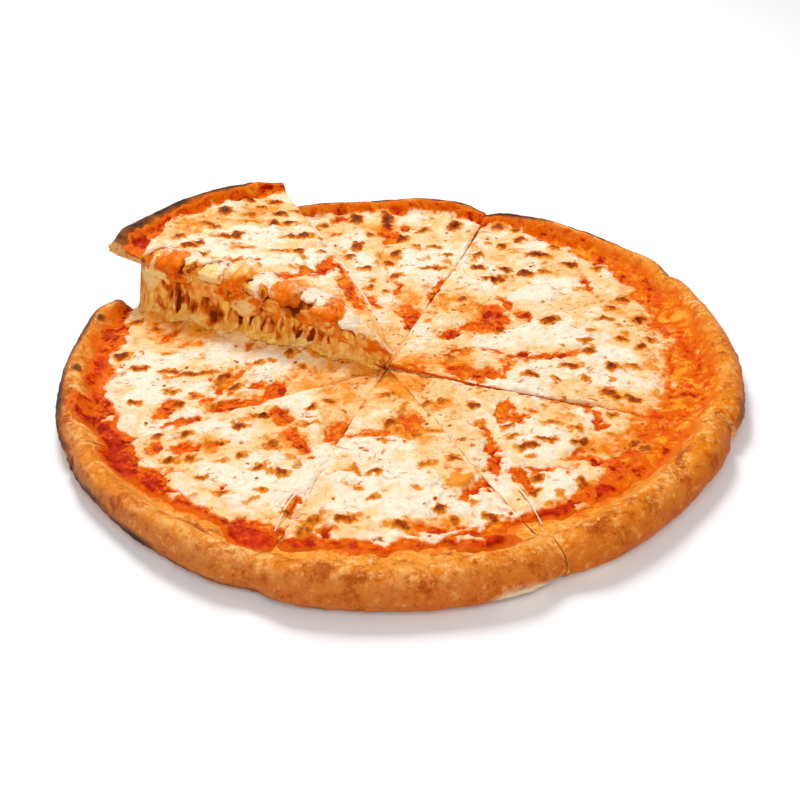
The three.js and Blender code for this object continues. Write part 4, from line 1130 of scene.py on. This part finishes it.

# the crust's darker and paler places: angle about the middle, how far each spreads, place on the profile
# (0 on the base, 1 on the crest, 2 at the widest, 3 below), spread there, strength
# the dark spots from 203 to 288 degrees, low on the side, are partly char and partly painted shade along the foot
charAndShadeSpots = [
    (168, 13, 1.5, 0.34, 1.25),
    (181, 10, 1.62, 0.34, 1.2),
    (192, 9, 1.66, 0.36, 1.25),
    (203, 10, 1.86, 0.34, 1.1),
    (214, 11, 2.05, 0.3, 1.1),
    (227, 12, 2.2, 0.27, 1.15),
    (241, 12, 2.34, 0.22, 1.1),
    (258, 16, 2.48, 0.17, 1.0),
    (288, 10, 2.64, 0.12, 0.8),
    (153, 8, 1.05, 0.55, 1.2),
    (143, 10, 1.1, 0.4, 1.1),
    (128, 12, 1.1, 0.26, 1.25),
    (110, 10, 1.12, 0.2, 1.3),
    (92, 10, 1.1, 0.2, 1.15),
    (78, 9, 1.1, 0.24, 1.3),
    (64, 9, 1.12, 0.3, 1.5),
    (48, 9, 1.22, 0.22, 1.3),
    (30, 10, 1.4, 0.22, 1.15),
    (8, 14, 1.7, 0.2, 0.9),
    (-14, 8, 1.8, 0.2, 0.7),
    (98, 2.2, 0.5, 0.3, 1.0),
    (84, 1.6, 0.55, 0.22, 0.9),
    (70, 1.8, 0.5, 0.25, 0.9),
    (124, 1.8, 0.5, 0.25, 0.9),
    (186, 1.3, 0.9, 0.25, 0.8),
    (168, 1.2, 0.9, 0.25, 0.9),
]
flourSpots = [
    (-72, 6, 2.35, 0.5, 1.0),
    (-60, 8, 2.6, 0.35, 0.8),
    (-98, 5, 2.7, 0.25, 0.5),
]


def rimMarks(spots, angle, profile):
    total = np.zeros_like(profile)
    for at, spread, level, around, strength in spots:
        turn = (angle - at + 180) % 360 - 180
        total = np.maximum(total, strength * bell(turn, spread) * bell(profile - level, around))
    return total


def makeDough(name):
    wedge = wedgeOf(name)
    t = spacing(doughSheet["columns"])[:, None]
    reach, width = outerReach(wedge, t), between(wedge, "rimWidth", t)
    crest, foot = pizza["crestShare"] * width, pizza["footRadius"]

    def steps(key):
        return np.linspace(0, 1, doughSheet[key] + 1)[None, 1:]

    # distances from the tip and places on the profile: base, inner slope, shoulder, foot and underside
    parts = [
        (np.linspace(0, 1, doughSheet["base"] + 1)[None, :] * (reach - width), 0.0),
        (reach - width + steps("innerSlope") * (width - crest), steps("innerSlope")),
        (reach - crest * (1 - np.cos((1 - steps("shoulder")) * math.pi / 2)), 1 + steps("shoulder")),
        (reach - foot * (1 - np.cos(steps("foot") * math.pi / 2)), 2 + steps("foot")),
        ((reach - foot) * (1 - steps("underside")), doughSheet["underProfile"]),
    ]
    profile = np.concatenate([np.broadcast_to(value, rows.shape) for rows, value in parts], 1)
    f = Field(wedge, t, np.concatenate([rows for rows, _ in parts], 1))
    below = slice(sum(rows.shape[1] for rows, _ in parts[:3]), None)
    z = f.dough.copy()
    z[:, below] = (pizza["edgeHeight"] * (1 - quarterRound(f.inset / foot)))[:, below]
    if name == "lifted":
        # its left corner is thin and curls up below
        corner = bell((1 - t) * sliceAngle(wedge) * f.distance, doughSheet["curlWidth"]) * smooth(108, 140, f.distance)
        z[:, below] += (doughSheet["curl"] * corner * smooth(6.4, 0.0, z))[:, below]
    # the outer side swells and dents a little as well
    angle = np.degrees(np.arctan2(f.cy, f.cx))
    side = smooth(1.2, 1.8, profile) * smooth(3.0, 2.4, profile)
    dents = 0.6 * rough(f.x * 0.5, f.y * 0.5 + 4 * z, 16, 406, 2) + 0.35 * rough(f.x, f.y + 2 * z, 5, 407, 3)
    bulge = side * (dents - 0.6 - 1.1 * bell((angle + 150) % 360 - 8, 38))
    outward = np.radians(between(wedge, "angle", t))
    points = np.stack([f.x + bulge * np.cos(outward), f.y + bulge * np.sin(outward), z], -1)
    points[:, -1] = [*wedge["tip"], 0.0]
    points[:, 0] = [*wedge["tip"], points[:, 0, 2].mean()]
    charred = doughSheet["charLevel"] + doughSheet["charWander"] * rough(f.x, f.y, 15, 408, 2)
    smeared = smooth(5.0, -1.0, between(wedge, "sauce", t) - f.inset + 2.0 * rough(f.x, f.y, 9, 410, 2))
    marks = {
        "profile": profile,
        # char, and low on the front left painted shade along the foot
        "char": rimMarks(charAndShadeSpots, angle, profile) * charred,
        "flour": rimMarks(flourSpots, angle, profile),
        "smear": 0.8 * smeared * smooth(1.3, 0.8, profile),
        "around": outward * pizza["radius"] / 1000,
        "tan": between(wedge, "tan", t),
    }
    makeLayer("dough", wedge, points, marks, materials["crust"], materials["crumb"])


for name in slices:
    makeDough(name)
print("dough made")

# sauce and cheese
sauceSheet = {"columns": 150, "rows": 190, "under": 44, "stopsBefore": 5.0, "sink": 0.5, "sinkOnRim": 0.5}
cheeseSheet = {"columns": 200, "rows": 236, "under": 44, "stopsBefore": 6.0, "sinkOnRim": 0.6}


def onRim(g):
    return smooth(g.width + 4, g.width, g.inset)


def layField(wedge, sheet):
    t = spacing(sheet["columns"])[:, None]
    far = outerReach(wedge, t) - sheet["stopsBefore"]
    return Field(wedge, t, far * np.linspace(0, 1, sheet["rows"] + 1)[None, :])


def wrapUnder(f, wedge, top, bottomHeight, count, marks):
    # adds the rows that lead back to the tip below a sheet
    g = Field(wedge, f.t, f.distance[:, -1:] * (1 - np.linspace(0, 1, count + 1)[None, :]))
    low = bottomHeight(g)
    upper, lower = np.stack([f.x, f.y, top], -1), np.stack([g.x, g.y, low], -1)
    upper[:, 0] = [*wedge["tip"], top[:, 0].mean()]
    lower[:, -1] = [*wedge["tip"], low[:, -1].mean()]
    marks = {
        key: np.concatenate([value, np.repeat(value[:, -1:], count + 1, 1)], 1) for key, value in marks.items()}
    return np.concatenate([upper, lower], 1), marks


def makeSauce(name):
    wedge = wedgeOf(name)
    f = layField(wedge, sauceSheet)
    border, top = sauceOver(wedge, f)
    outside = smooth(-3, 5, pastCheese(wedge, f))
    mellow = between(wedge, "mellow", f.t) * outside + 0.6 * (1 - outside)
    marks = {"edge": smooth(4.0, 0.0, border), "mellow": mellow}

    def bottom(g):
        low = g.dough - sauceSheet["sink"] - sauceSheet["sinkOnRim"] * onRim(g)
        return np.minimum(low, sauceOver(wedge, g)[1] - 0.1)

    points, marks = wrapUnder(f, wedge, top, bottom, sauceSheet["under"], marks)
    makeLayer("sauce", wedge, points, marks, materials["sauce"])


for name in slices:
    makeSauce(name)
print("sauce made")


def makeCheese(name):
    wedge = wedgeOf(name)
    f = layField(wedge, cheeseSheet)
    marks = cheeseOver(wedge, f)
    top = marks.pop("top")

    def bottom(g):
        return g.dough - pizza["layerGap"] - cheeseSheet["sinkOnRim"] * onRim(g)

    points, marks = wrapUnder(f, wedge, top, bottom, cheeseSheet["under"], marks)
    makeLayer("cheese", wedge, points, marks, materials["cheese"])


for name in slices:
    makeCheese(name)
print("cheese made")

# the cheese that stretches down from the lifted slice
# all is given along the cut and by height, where 1 is the slice's top, 0.55 its underside and 0 the foot;
# cheeks have distance, half width, height, half height, how far they stand out, warmth and stain,
# and the marks have distance, half width, height, half height and strength
# the shade marks are painted shade in the hollows and gaps
pulls = {
    "cheese_pull_left": {
        "cut": 516.5, "side": 1, "from": 1.5, "to": 128.5, "spread": 1.0, "columns": 340, "seed": 61,
        "overReach": 15.0, "overShare": 0.5, "shoulder": 2.2, "tongue": -0.12, "tongueWander": 0.25, "thinTop": 0.0,
        "tuck": 0.0, "neighbour": "left",
        "cheeks": (
            (111.5, 6, 1.11, 0.32, 2.6, 1.15, 0.5), (78, 8.5, 1.3, 0.34, 3.4, 1.5, 0.2),
            (80.5, 7, 0.78, 0.3, 2.4, 1.0, 0.8), (66, 5, 0.95, 0.2, 1.6, 0.5, 0.1),
            (52.5, 7, 1.15, 0.36, 3.6, 1.4, 0.6), (45, 7, 1.42, 0.34, 2.0, 0.3, 0.0),
            (22.5, 6, 1.3, 0.36, 2.0, 0.6, 0.08), (13, 6, 0.95, 0.36, 2.2, 1.1, 0.15),
            (120.5, 8, 0.68, 0.36, 3.0, 0.25, 0.0), (90, 8, 1.0, 0.24, 2.0, 0.05, 0.0),
            (91, 7, 1.36, 0.2, 1.0, 0.0, 0.0), (96, 8, 0.58, 0.2, 2.8, 1.1, 0.15),
            (71.5, 9, 0.56, 0.28, 3.4, 0.5, 0.05), (118, 5, 1.06, 0.24, 1.8, 0.6, 0.1),
            (104, 4, 1.2, 0.2, 1.6, 0.2, 0.0), (34, 6, 0.85, 0.3, 2.0, 0.9, 0.2), (42, 5, 0.66, 0.3, 1.8, 1.0, 0.1),
            (126, 4, 0.8, 0.3, 1.4, 0.9, 0.3), (58, 6, 0.66, 0.26, 2.6, 1.1, 0.2), (86, 5, 0.56, 0.14, 1.8, 0.6, 0.1),
            (109, 6, 0.74, 0.24, 2.2, 1.0, 0.5), (24, 5, 0.62, 0.24, 1.6, 0.8, 0.1)),
        "red": (
            (123, 3.5, 1.42, 0.12, 1.1), (106.5, 3.4, 0.86, 0.34, 1.15), (80, 7, 0.78, 0.26, 1.0),
            (31, 5, 1.5, 0.4, 1.3), (29.5, 3.2, 1.2, 0.4, 1.3), (28.5, 2.4, 0.8, 0.3, 1.2), (62, 6, 1.5, 0.1, 1.2),
            (50, 6, 1.56, 0.1, 1.1), (108.5, 4.5, 0.52, 0.16, 1.1), (116, 3, 0.98, 0.2, 0.9),
            (92, 3, 0.74, 0.16, 0.9), (66, 3, 0.8, 0.2, 0.9), (47, 3, 0.7, 0.2, 0.8), (100, 2.5, 1.06, 0.16, 1.0),
            (62, 3, 0.98, 0.14, 0.8), (86, 3, 1.12, 0.14, 0.7), (124.5, 3, 1.06, 0.2, 0.9), (6, 4, 0.9, 0.3, 0.7)),
        "cream": (
            (120.5, 6, 0.66, 0.22, 0.9), (90, 7, 1.02, 0.16, 1.0), (91, 8, 1.38, 0.14, 1.0),
            (45, 6.5, 1.44, 0.3, 0.75), (22.5, 4.5, 1.32, 0.3, 0.45), (72, 5, 0.58, 0.12, 0.7),
            (104, 3, 1.22, 0.2, 0.9), (66, 4, 1.25, 0.2, 0.9), (60, 5, 1.4, 0.12, 0.8), (112, 6, 1.44, 0.1, 0.8),
            (17, 5, 0.12, 0.14, 1.0), (40, 8, 0.1, 0.12, 1.0), (72, 6, 0.02, 0.08, 0.9), (98, 8, 0.02, 0.08, 0.9),
            (119, 7, 0.06, 0.08, 0.8)),
        "shade": (
            (107.5, 3, 0.5, 0.16, 1.0), (104, 3.6, 0.3, 0.14, 1.1), (95, 2.2, 0.3, 0.12, 0.7),
            (86, 4.5, 0.22, 0.2, 1.25), (48, 3.6, 0.86, 0.28, 1.3), (98, 3, 0.24, 0.14, 1.0),
            (91, 2.4, 0.36, 0.14, 0.9), (112, 2.6, 0.42, 0.16, 0.8), (62.5, 3.4, 1.02, 0.13, 1.0),
            (29.5, 1.6, 0.42, 0.2, 1.1), (62, 2.6, 0.3, 0.16, 0.9), (39.5, 2.2, 1.04, 0.1, 0.8),
            (43.5, 1.6, 0.4, 0.22, 0.9), (38, 1.2, 0.5, 0.2, 0.8), (34, 1.4, 0.45, 0.24, 0.9),
            (52, 1.4, 0.4, 0.2, 0.8), (57, 1.6, 0.36, 0.16, 0.8), (100, 2, 1.06, 0.14, 0.7),
            (106.5, 1.8, 0.9, 0.24, 0.8), (2, 2.4, 0.25, 0.3, 1.1), (22, 2.2, 0.5, 0.14, 0.6),
            (53, 2, 0.12, 0.1, 0.7), (115, 3, 0.12, 0.1, 0.6), (73, 3, 0.3, 0.1, 0.6), (80, 3, 0.5, 0.08, 0.8)),
        "toast": (
            (100, 1.8, 1.06, 0.12, 0.9), (80, 3, 0.78, 0.1, 0.8), (127, 2.4, 1.0, 0.09, 1.0),
            (62.5, 2.4, 1.0, 0.07, 0.8), (109, 3, 0.7, 0.06, 0.7), (98.5, 2.6, 1.42, 0.05, 1.0),
            (88, 4, 1.46, 0.03, 0.7)),
    },
    "cheese_pull_back": {
        "cut": 474, "side": -1, "from": 20, "to": 113, "spread": 4.6, "columns": 260, "seed": 62,
        "overReach": 1.2, "overShare": 0.16, "shoulder": 0.4, "tongue": 0.16, "tongueWander": 0.12, "thinTop": 0.9,
        "tuck": 1.3, "neighbour": "back",
        "cheeks": (
            (30, 8, 0.7, 0.36, 1.8, 0.9, 0.3), (45, 9, 0.66, 0.4, 2.4, 0.3, 0.1), (60, 9, 0.76, 0.3, 2.0, 1.0, 0.5),
            (74, 8, 0.6, 0.4, 2.6, 0.4, 0.1), (90, 9, 0.74, 0.34, 2.0, 1.0, 0.4), (105, 8, 0.7, 0.34, 1.8, 0.7, 0.3)),
        "red": ((35, 5, 0.85, 0.2, 0.8), (66, 6, 0.9, 0.16, 0.8), (97, 6, 0.84, 0.2, 0.9), (52, 3, 0.5, 0.2, 0.6)),
        "cream": (
            (47, 7, 0.7, 0.2, 0.9), (76, 7, 0.6, 0.2, 0.9), (60, 9, 0.04, 0.08, 0.9), (100, 8, 0.04, 0.08, 0.8),
            (33, 8, 0.04, 0.08, 0.8)),
        "shade": ((40, 4, 0.26, 0.16, 0.9), (70, 4, 0.2, 0.16, 0.9), (92, 4, 0.26, 0.18, 0.9)),
        "toast": ((58, 4, 0.7, 0.08, 0.7), (104, 4, 0.66, 0.08, 0.7)),
    },
}
pullSheet = {
    "rows": 150, "backRows": 12, "clingShare": 0.45, "offFace": 0.3, "sliceTop": 8.9, "footHeight": 8.2,
    "strandGap": (1.6, 6.5), "strandWidth": (1.2, 4.4), "strandDepth": (0.6, 2.0), "strandLean": (-3, 3), "web": 0.5,
    "thinnest": 0.35, "thickest": 5, "tilt": 82, "blur": 8,
}


def pullMark(spots, s, v):
    total = np.zeros_like(s)
    for at, half, level, high, strength in spots:
        total = np.maximum(total, strength * bell(s - at, half) * bell(v - level, high))
    return total


def blurred(values, reach):
    padded, total = np.pad(values, reach, mode="edge"), np.zeros_like(values)
    shifts = range(0, 2 * reach + 1, 2)
    for i in shifts:
        for j in shifts:
            total = total + padded[i:i + values.shape[0], j:j + values.shape[1]]
    return total / len(shifts) ** 2


def strandsOf(made, s, v):
    # rounded columns that lean a little and widen at both ends; 0 between them
    rng = np.random.default_rng(made["seed"])
    depth, at = np.zeros(np.broadcast(s, v).shape), made["from"] + 1.5
    while at < made["to"]:
        lean, wide, out = (rng.uniform(*pullSheet[key]) for key in ("strandLean", "strandWidth", "strandDepth"))
        middle = at + lean * (v - 0.3) + 0.8 * np.sin(6 * v + at)
        half = wide * (1 + 1.6 * smooth(0.16, 0.0, v) + 1.3 * smooth(0.32, 0.62, v))
        depth = np.maximum(depth, out * domed(1 - ((s - middle) / half) ** 2))
        at += rng.uniform(*pullSheet["strandGap"])
    return depth


def makePull(name):
    made, mid = pulls[name], wedgeOf("lifted")["mid"]
    cutAngle, outAngle = math.radians(made["cut"]), math.radians(made["cut"] + made["side"] * 90)
    outwards = np.array([math.cos(outAngle), math.sin(outAngle), 0])
    liftedAngle = outAngle + math.radians(lift["turn"])
    outLifted = np.array([math.cos(liftedAngle), math.sin(liftedAngle), 0])
    overShare, clingShare, seed = made["overShare"], pullSheet["clingShare"], made["seed"]
    u = np.linspace(0, 1, made["columns"] + 1)[:, None]
    v = np.linspace(1 + overShare, 0, pullSheet["rows"] + 1)[None, :]
    s = made["from"] + (made["to"] - made["from"]) * u + 0 * v
    v = v + 0 * s
    over = np.clip((v - 1) / overShare, 0, 1)
    hang, cling = np.minimum(v / (1 - clingShare), 1), np.clip((v - 1) / clingShare + 1, 0, 1)

    def along(distance, z):
        return np.stack(np.broadcast_arrays(distance * math.cos(cutAngle), distance * math.sin(cutAngle), z), -1)

    def wavy(size, number):
        return rolling(s, 0 * s, size, seed + number)

    # the inner face: from the foot up to the slice, up its cut and in over its top
    s2 = s + 1.8 * rolling(s, 12 * v, 12, seed + 4) * np.sin(math.pi * hang)
    ms, mv = s + 2.6 * rough(s, 30 * v, 8, seed + 8, 3), v + 0.09 * rough(s, 30 * v, 8, seed + 9, 3)
    spread = made["spread"] + 1.4 * wavy(11, 3) + 2.6 * smooth(0.1, 0.0, v) * (0.6 + 0.4 * wavy(6, 5))
    foot = along(s, pullSheet["footHeight"] + 0.8 * pulledRidge(made["neighbour"], s)) + spread[..., None] * outwards
    overZ = (pullSheet["sliceTop"] - made["shoulder"]) * cling + made["shoulder"] * quarterRound(over / 0.8)
    overZ = overZ - 1.4 * smooth(0.72, 1.0, over) - made["tuck"] * smooth(0.75, 1.0, v)
    reachIn = np.minimum(made["overReach"], 0.42 * s) * (1 + 0.2 * wavy(8, 6)) * over
    face = raised(along(s2, overZ), mid) + (pullSheet["offFace"] - reachIn)[..., None] * outLifted
    hung = raised(along(s2, 0 * s2), mid) + pullSheet["offFace"] * outLifted
    rise = hang[..., None]
    inner = np.where(rise < 1, foot * (1 - rise) + hung * rise, face)

    # strands, lumps and tongues stand out from it
    strands = strandsOf(made, s2, v)
    cheeks, cheekWarm, cheekStain = np.zeros_like(s), np.zeros_like(s), np.zeros_like(s)
    for at, half, level, high, out, warm, stain in made["cheeks"]:
        bump = out * domed(1 - ((ms - at) / half) ** 2 - ((mv - level) / high) ** 2)
        share = smooth(0.0, 0.35, bump - cheeks)
        cheekWarm, cheekStain = cheekWarm + (warm - cheekWarm) * share, cheekStain + (stain - cheekStain) * share
        cheeks = np.maximum(cheeks, bump)
    # tongues of the slice's own cheese run down over its edge
    tongueEnd = 1 - made["tongue"] - made["tongueWander"] * rough(s, 0 * s, 13, seed + 10, 3)
    flow = smooth(-0.05, 0.06, mv - tongueEnd)
    lobe = flow * (0.6 + 1.0 * bell(mv - tongueEnd - 0.1, 0.14)) * (1 + 0.5 * rough(ms, 22 * mv, 9, seed + 13, 2))
    bumps = 0.5 * rough(ms + 2, 18 * mv, 5, seed + 2, 3) * smooth(0.3, 0.7, v)
    under = np.maximum(smooth(0.95, 0.62, v), 0.25)
    thickness = pullSheet["web"] + np.maximum(np.maximum(strands * under, cheeks), lobe)
    thickness = thickness + bumps + 0.5 * smooth(0.1, 0.0, v)
    # painted shade in the crevices between lumps
    creviceShade = np.clip((blurred(thickness, pullSheet["blur"]) - thickness - 0.1) / 1.1, 0, 1)
    ends = np.minimum(smooth(0, 0.05, u), smooth(1, 0.96, u))
    thickness = np.clip(thickness, pullSheet["thinnest"], pullSheet["thickest"]) * (0.3 + 0.7 * ends)
    thickness = thickness * (1 - smooth(0.4, 1.0, over)) * (1 - made["thinTop"] * smooth(0.7, 0.96, v)) + 0.02
    tilt = smooth(0.88, 1.0 + 0.6 * overShare, v)[..., None] * math.radians(pullSheet["tilt"])
    outer = inner + thickness[..., None] * (outLifted * np.cos(tilt) + np.array([0, 0, 1.0]) * np.sin(tilt))
    outer[..., 2] -= 0.25 * cheeks * smooth(0.5, 0.75, v) * smooth(0.98, 0.8, v)
    backV = np.linspace(0, pullSheet["rows"], pullSheet["backRows"] + 1).round().astype(int)[::-1]
    points = np.concatenate([outer, inner[:, backV]], 1)

    onCheek = np.maximum(smooth(0.3, 1.4, cheeks), flow)
    # the webs between strands and the hollows under the tongues get painted shade
    web = smooth(0.7, 0.15, strands) * (1 - onCheek) * smooth(0.02, 0.16, v) * smooth(0.98, 0.8, v)
    hollowShade = smooth(0.12, 0.0, tongueEnd - mv) * smooth(-0.04, 0.02, tongueEnd - mv) * (1 - smooth(0.3, 1.4, cheeks))
    creased = 1.1 * smooth(1.02, 0.92, v) + 0.8 * smooth(0.92, 1.02, v) * smooth(1.46, 1.3, v)
    red, cream, shade, toast = (pullMark(made[key], ms, mv) for key in ("red", "cream", "shade", "toast"))
    patchy = rough(ms, 26 * mv, 8, seed + 11, 3)
    lump = smooth(0.2, 0.9, cheeks)
    warmth = 0.75 + 0.7 * patchy - 0.8 * cream + (cheekWarm - 0.75) * lump - 0.3 * smooth(0.98, 1.1, v) - 0.3 * flow
    stained = 0.85 * red + (0.12 + 0.42 * patchy) * (1 - 0.6 * flow) - 0.3 * cream + cheekStain * lump
    marks = {
        # painted shade
        "depth": np.clip(shade + creviceShade * creased + 0.5 * web + 0.5 * hollowShade, 0, 1.3),
        "warm": np.clip(warmth, 0, 1.4),
        "stain": np.clip(stained, 0, 1.4),
        "toast": toast,
        "over": np.maximum(np.maximum(onCheek, smooth(0.9, 1.0, v)), 0.9 * cream),
        "top": np.maximum(smooth(0.1, 0.8, over), 0.85 * flow),
    }
    marks = {key: np.concatenate([value, value[:, backV]], 1) for key, value in marks.items()}
    pull = addSheet(name.replace("cheese_pull", "stretched_cheese"), points, marks)
    closeRound(pull)
    finishPiece(pull, name, "stretched_cheese", materials["pull"])


def chooseOpenEdges():
    bpy.ops.mesh.select_all(action="DESELECT")
    bpy.ops.mesh.select_non_manifold(extend=False, use_wire=False, use_boundary=True, use_multi_face=False,
                                     use_non_contiguous=False, use_verts=False)


def closeRound(sheet):
    # the sheet's first row is bridged to its last, and then its two ends are filled
    bpy.ops.object.mode_set(mode="EDIT")
    bpy.ops.mesh.select_mode(type="EDGE")
    chooseOpenEdges()
    bpy.ops.object.mode_set(mode="OBJECT")
    count = len(sheet.data.edges)
    edges, ends = np.zeros(count, bool), np.zeros(count * 2, np.int32)
    sheet.data.edges.foreach_get("select", edges)
    sheet.data.edges.foreach_get("vertices", ends)
    sides = sideOf(sheet)[ends.reshape(-1, 2)]
    onEnd = (sides[:, 0] > 0) & (sides[:, 0] == sides[:, 1])
    choose(sheet, "edges", edges & ~onEnd)
    bpy.ops.mesh.bridge_edge_loops()
    chooseOpenEdges()
    bpy.ops.mesh.fill_holes(sides=0)
    endSheet(sheet, sheetMaking["pullAngle"])


for name in pulls:
    makePull(name)
print("stretched cheese made")

# thin strings of cheese across the two front cuts, with points from the middle of the round and their heights
strings = {
    "front_left": {
        "points": (
            (-36.8, -92.5, 8.0), (-38.6, -97, 9.9), (-40.6, -102.5, 10.3), (-41.6, -108, 9.8), (-43.6, -113, 7.4)),
        "thickness": (0.9, 1.25, 0.75, 0.55, 0.8)},
    "front_right": {
        "points": (
            (47.2, -90, 8.2), (48.6, -94.5, 10.0), (50.8, -99, 10.4), (52.0, -105, 10.0), (54.4, -110, 7.6)),
        "thickness": (0.8, 1.1, 0.6, 0.5, 0.75)},
}
stringLook = {"radius": 0.0004, "roundness": 4, "marks": {"warm": 0.05, "stain": 0.0, "toast": 0.0}}


def makeString(name):
    made = strings[name]
    bpy.ops.object.select_all(action="DESELECT")
    places = (np.array(made["points"]) + [*pizza["middle"], 0] + crossing) / 1000
    bpy.ops.curve.primitive_nurbs_path_add(location=(0, 0, 0))
    string = bpy.context.object
    string.name = "cheese_string_" + name
    for point, place, thickness in zip(string.data.splines[0].points, places, made["thickness"]):
        point.co = (*place, 1.0)
        point.radius = thickness
    string.data.bevel_depth = stringLook["radius"]
    string.data.bevel_resolution = stringLook["roundness"]
    string.data.use_fill_caps = True
    bpy.ops.object.convert(target="MESH")
    bpy.ops.object.shade_smooth()
    string = bpy.context.object
    for mark, value in stringLook["marks"].items():
        writeMark(string, mark, np.full(len(string.data.vertices), value))
    string.data.materials.append(materials["cheese"])
    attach(string, "root")


for name in strings:
    makeString(name)
print("strings made")

# floor, light and camera; sizes and places in metres, the viewpoint in millimetres from the middle of the round
studio = {"floorSize": 6, "floorLevel": -0.0002, "floorTones": ((0.9, 0.9, 0.9, 1), (0.93, 0.93, 0.93, 1)), "sky": 0.33}
bpy.ops.object.select_all(action="DESELECT")
bpy.ops.mesh.primitive_plane_add(size=studio["floorSize"], location=(0, 0, studio["floorLevel"]))
floor = bpy.context.object
floor.name = "floor"
material, nodes, place = startMaterial("pale floor")
tone = nodes.blend(nodes.noise(place, 6, 2, 0.5), *studio["floorTones"])
floor.data.materials.append(endMaterial(material, nodes, baseColor=tone, roughness=0.8))

lights = [
    {"name": "window", "place": (-0.2, 0.6, 0.95), "size": 0.36, "power": 9.9},
    {"name": "front fill", "place": (0.02, -0.84, 0.86), "size": 0.9, "power": 6.6},
]
for made in lights:
    bpy.ops.object.light_add(type="AREA", location=made["place"])
    lamp = bpy.context.object
    lamp.name = made["name"]
    lamp.data.size = made["size"]
    lamp.data.energy = made["power"]
    lamp.rotation_euler = (-Vector(made["place"])).to_track_quat("-Z", "Y").to_euler()

world = bpy.data.worlds.new("plain sky")
world.use_nodes = True
world.node_tree.nodes["Background"].inputs["Color"].default_value = (1, 1, 1, 1)
world.node_tree.nodes["Background"].inputs["Strength"].default_value = studio["sky"]
bpy.context.scene.world = world
bpy.context.scene.view_settings.view_transform = "Standard"
bpy.context.scene.view_settings.look = "None"

middle = crossing + [*pizza["middle"], 0]
viewpoint = {"from": (0, -422.24, 287.60), "at": (2.733, -31.773, 8.0), "lens": 50.97, "sensor": 36, "nearest": 0.01}
start, target = (Vector((middle + viewpoint[key]) / 1000) for key in ("from", "at"))
bpy.ops.object.camera_add(location=start, rotation=(target - start).to_track_quat("-Z", "Y").to_euler())
camera = bpy.context.object
camera.data.lens = viewpoint["lens"]
camera.data.sensor_width = viewpoint["sensor"]
camera.data.clip_start = viewpoint["nearest"]
bpy.context.scene.camera = camera

print("scene ready")
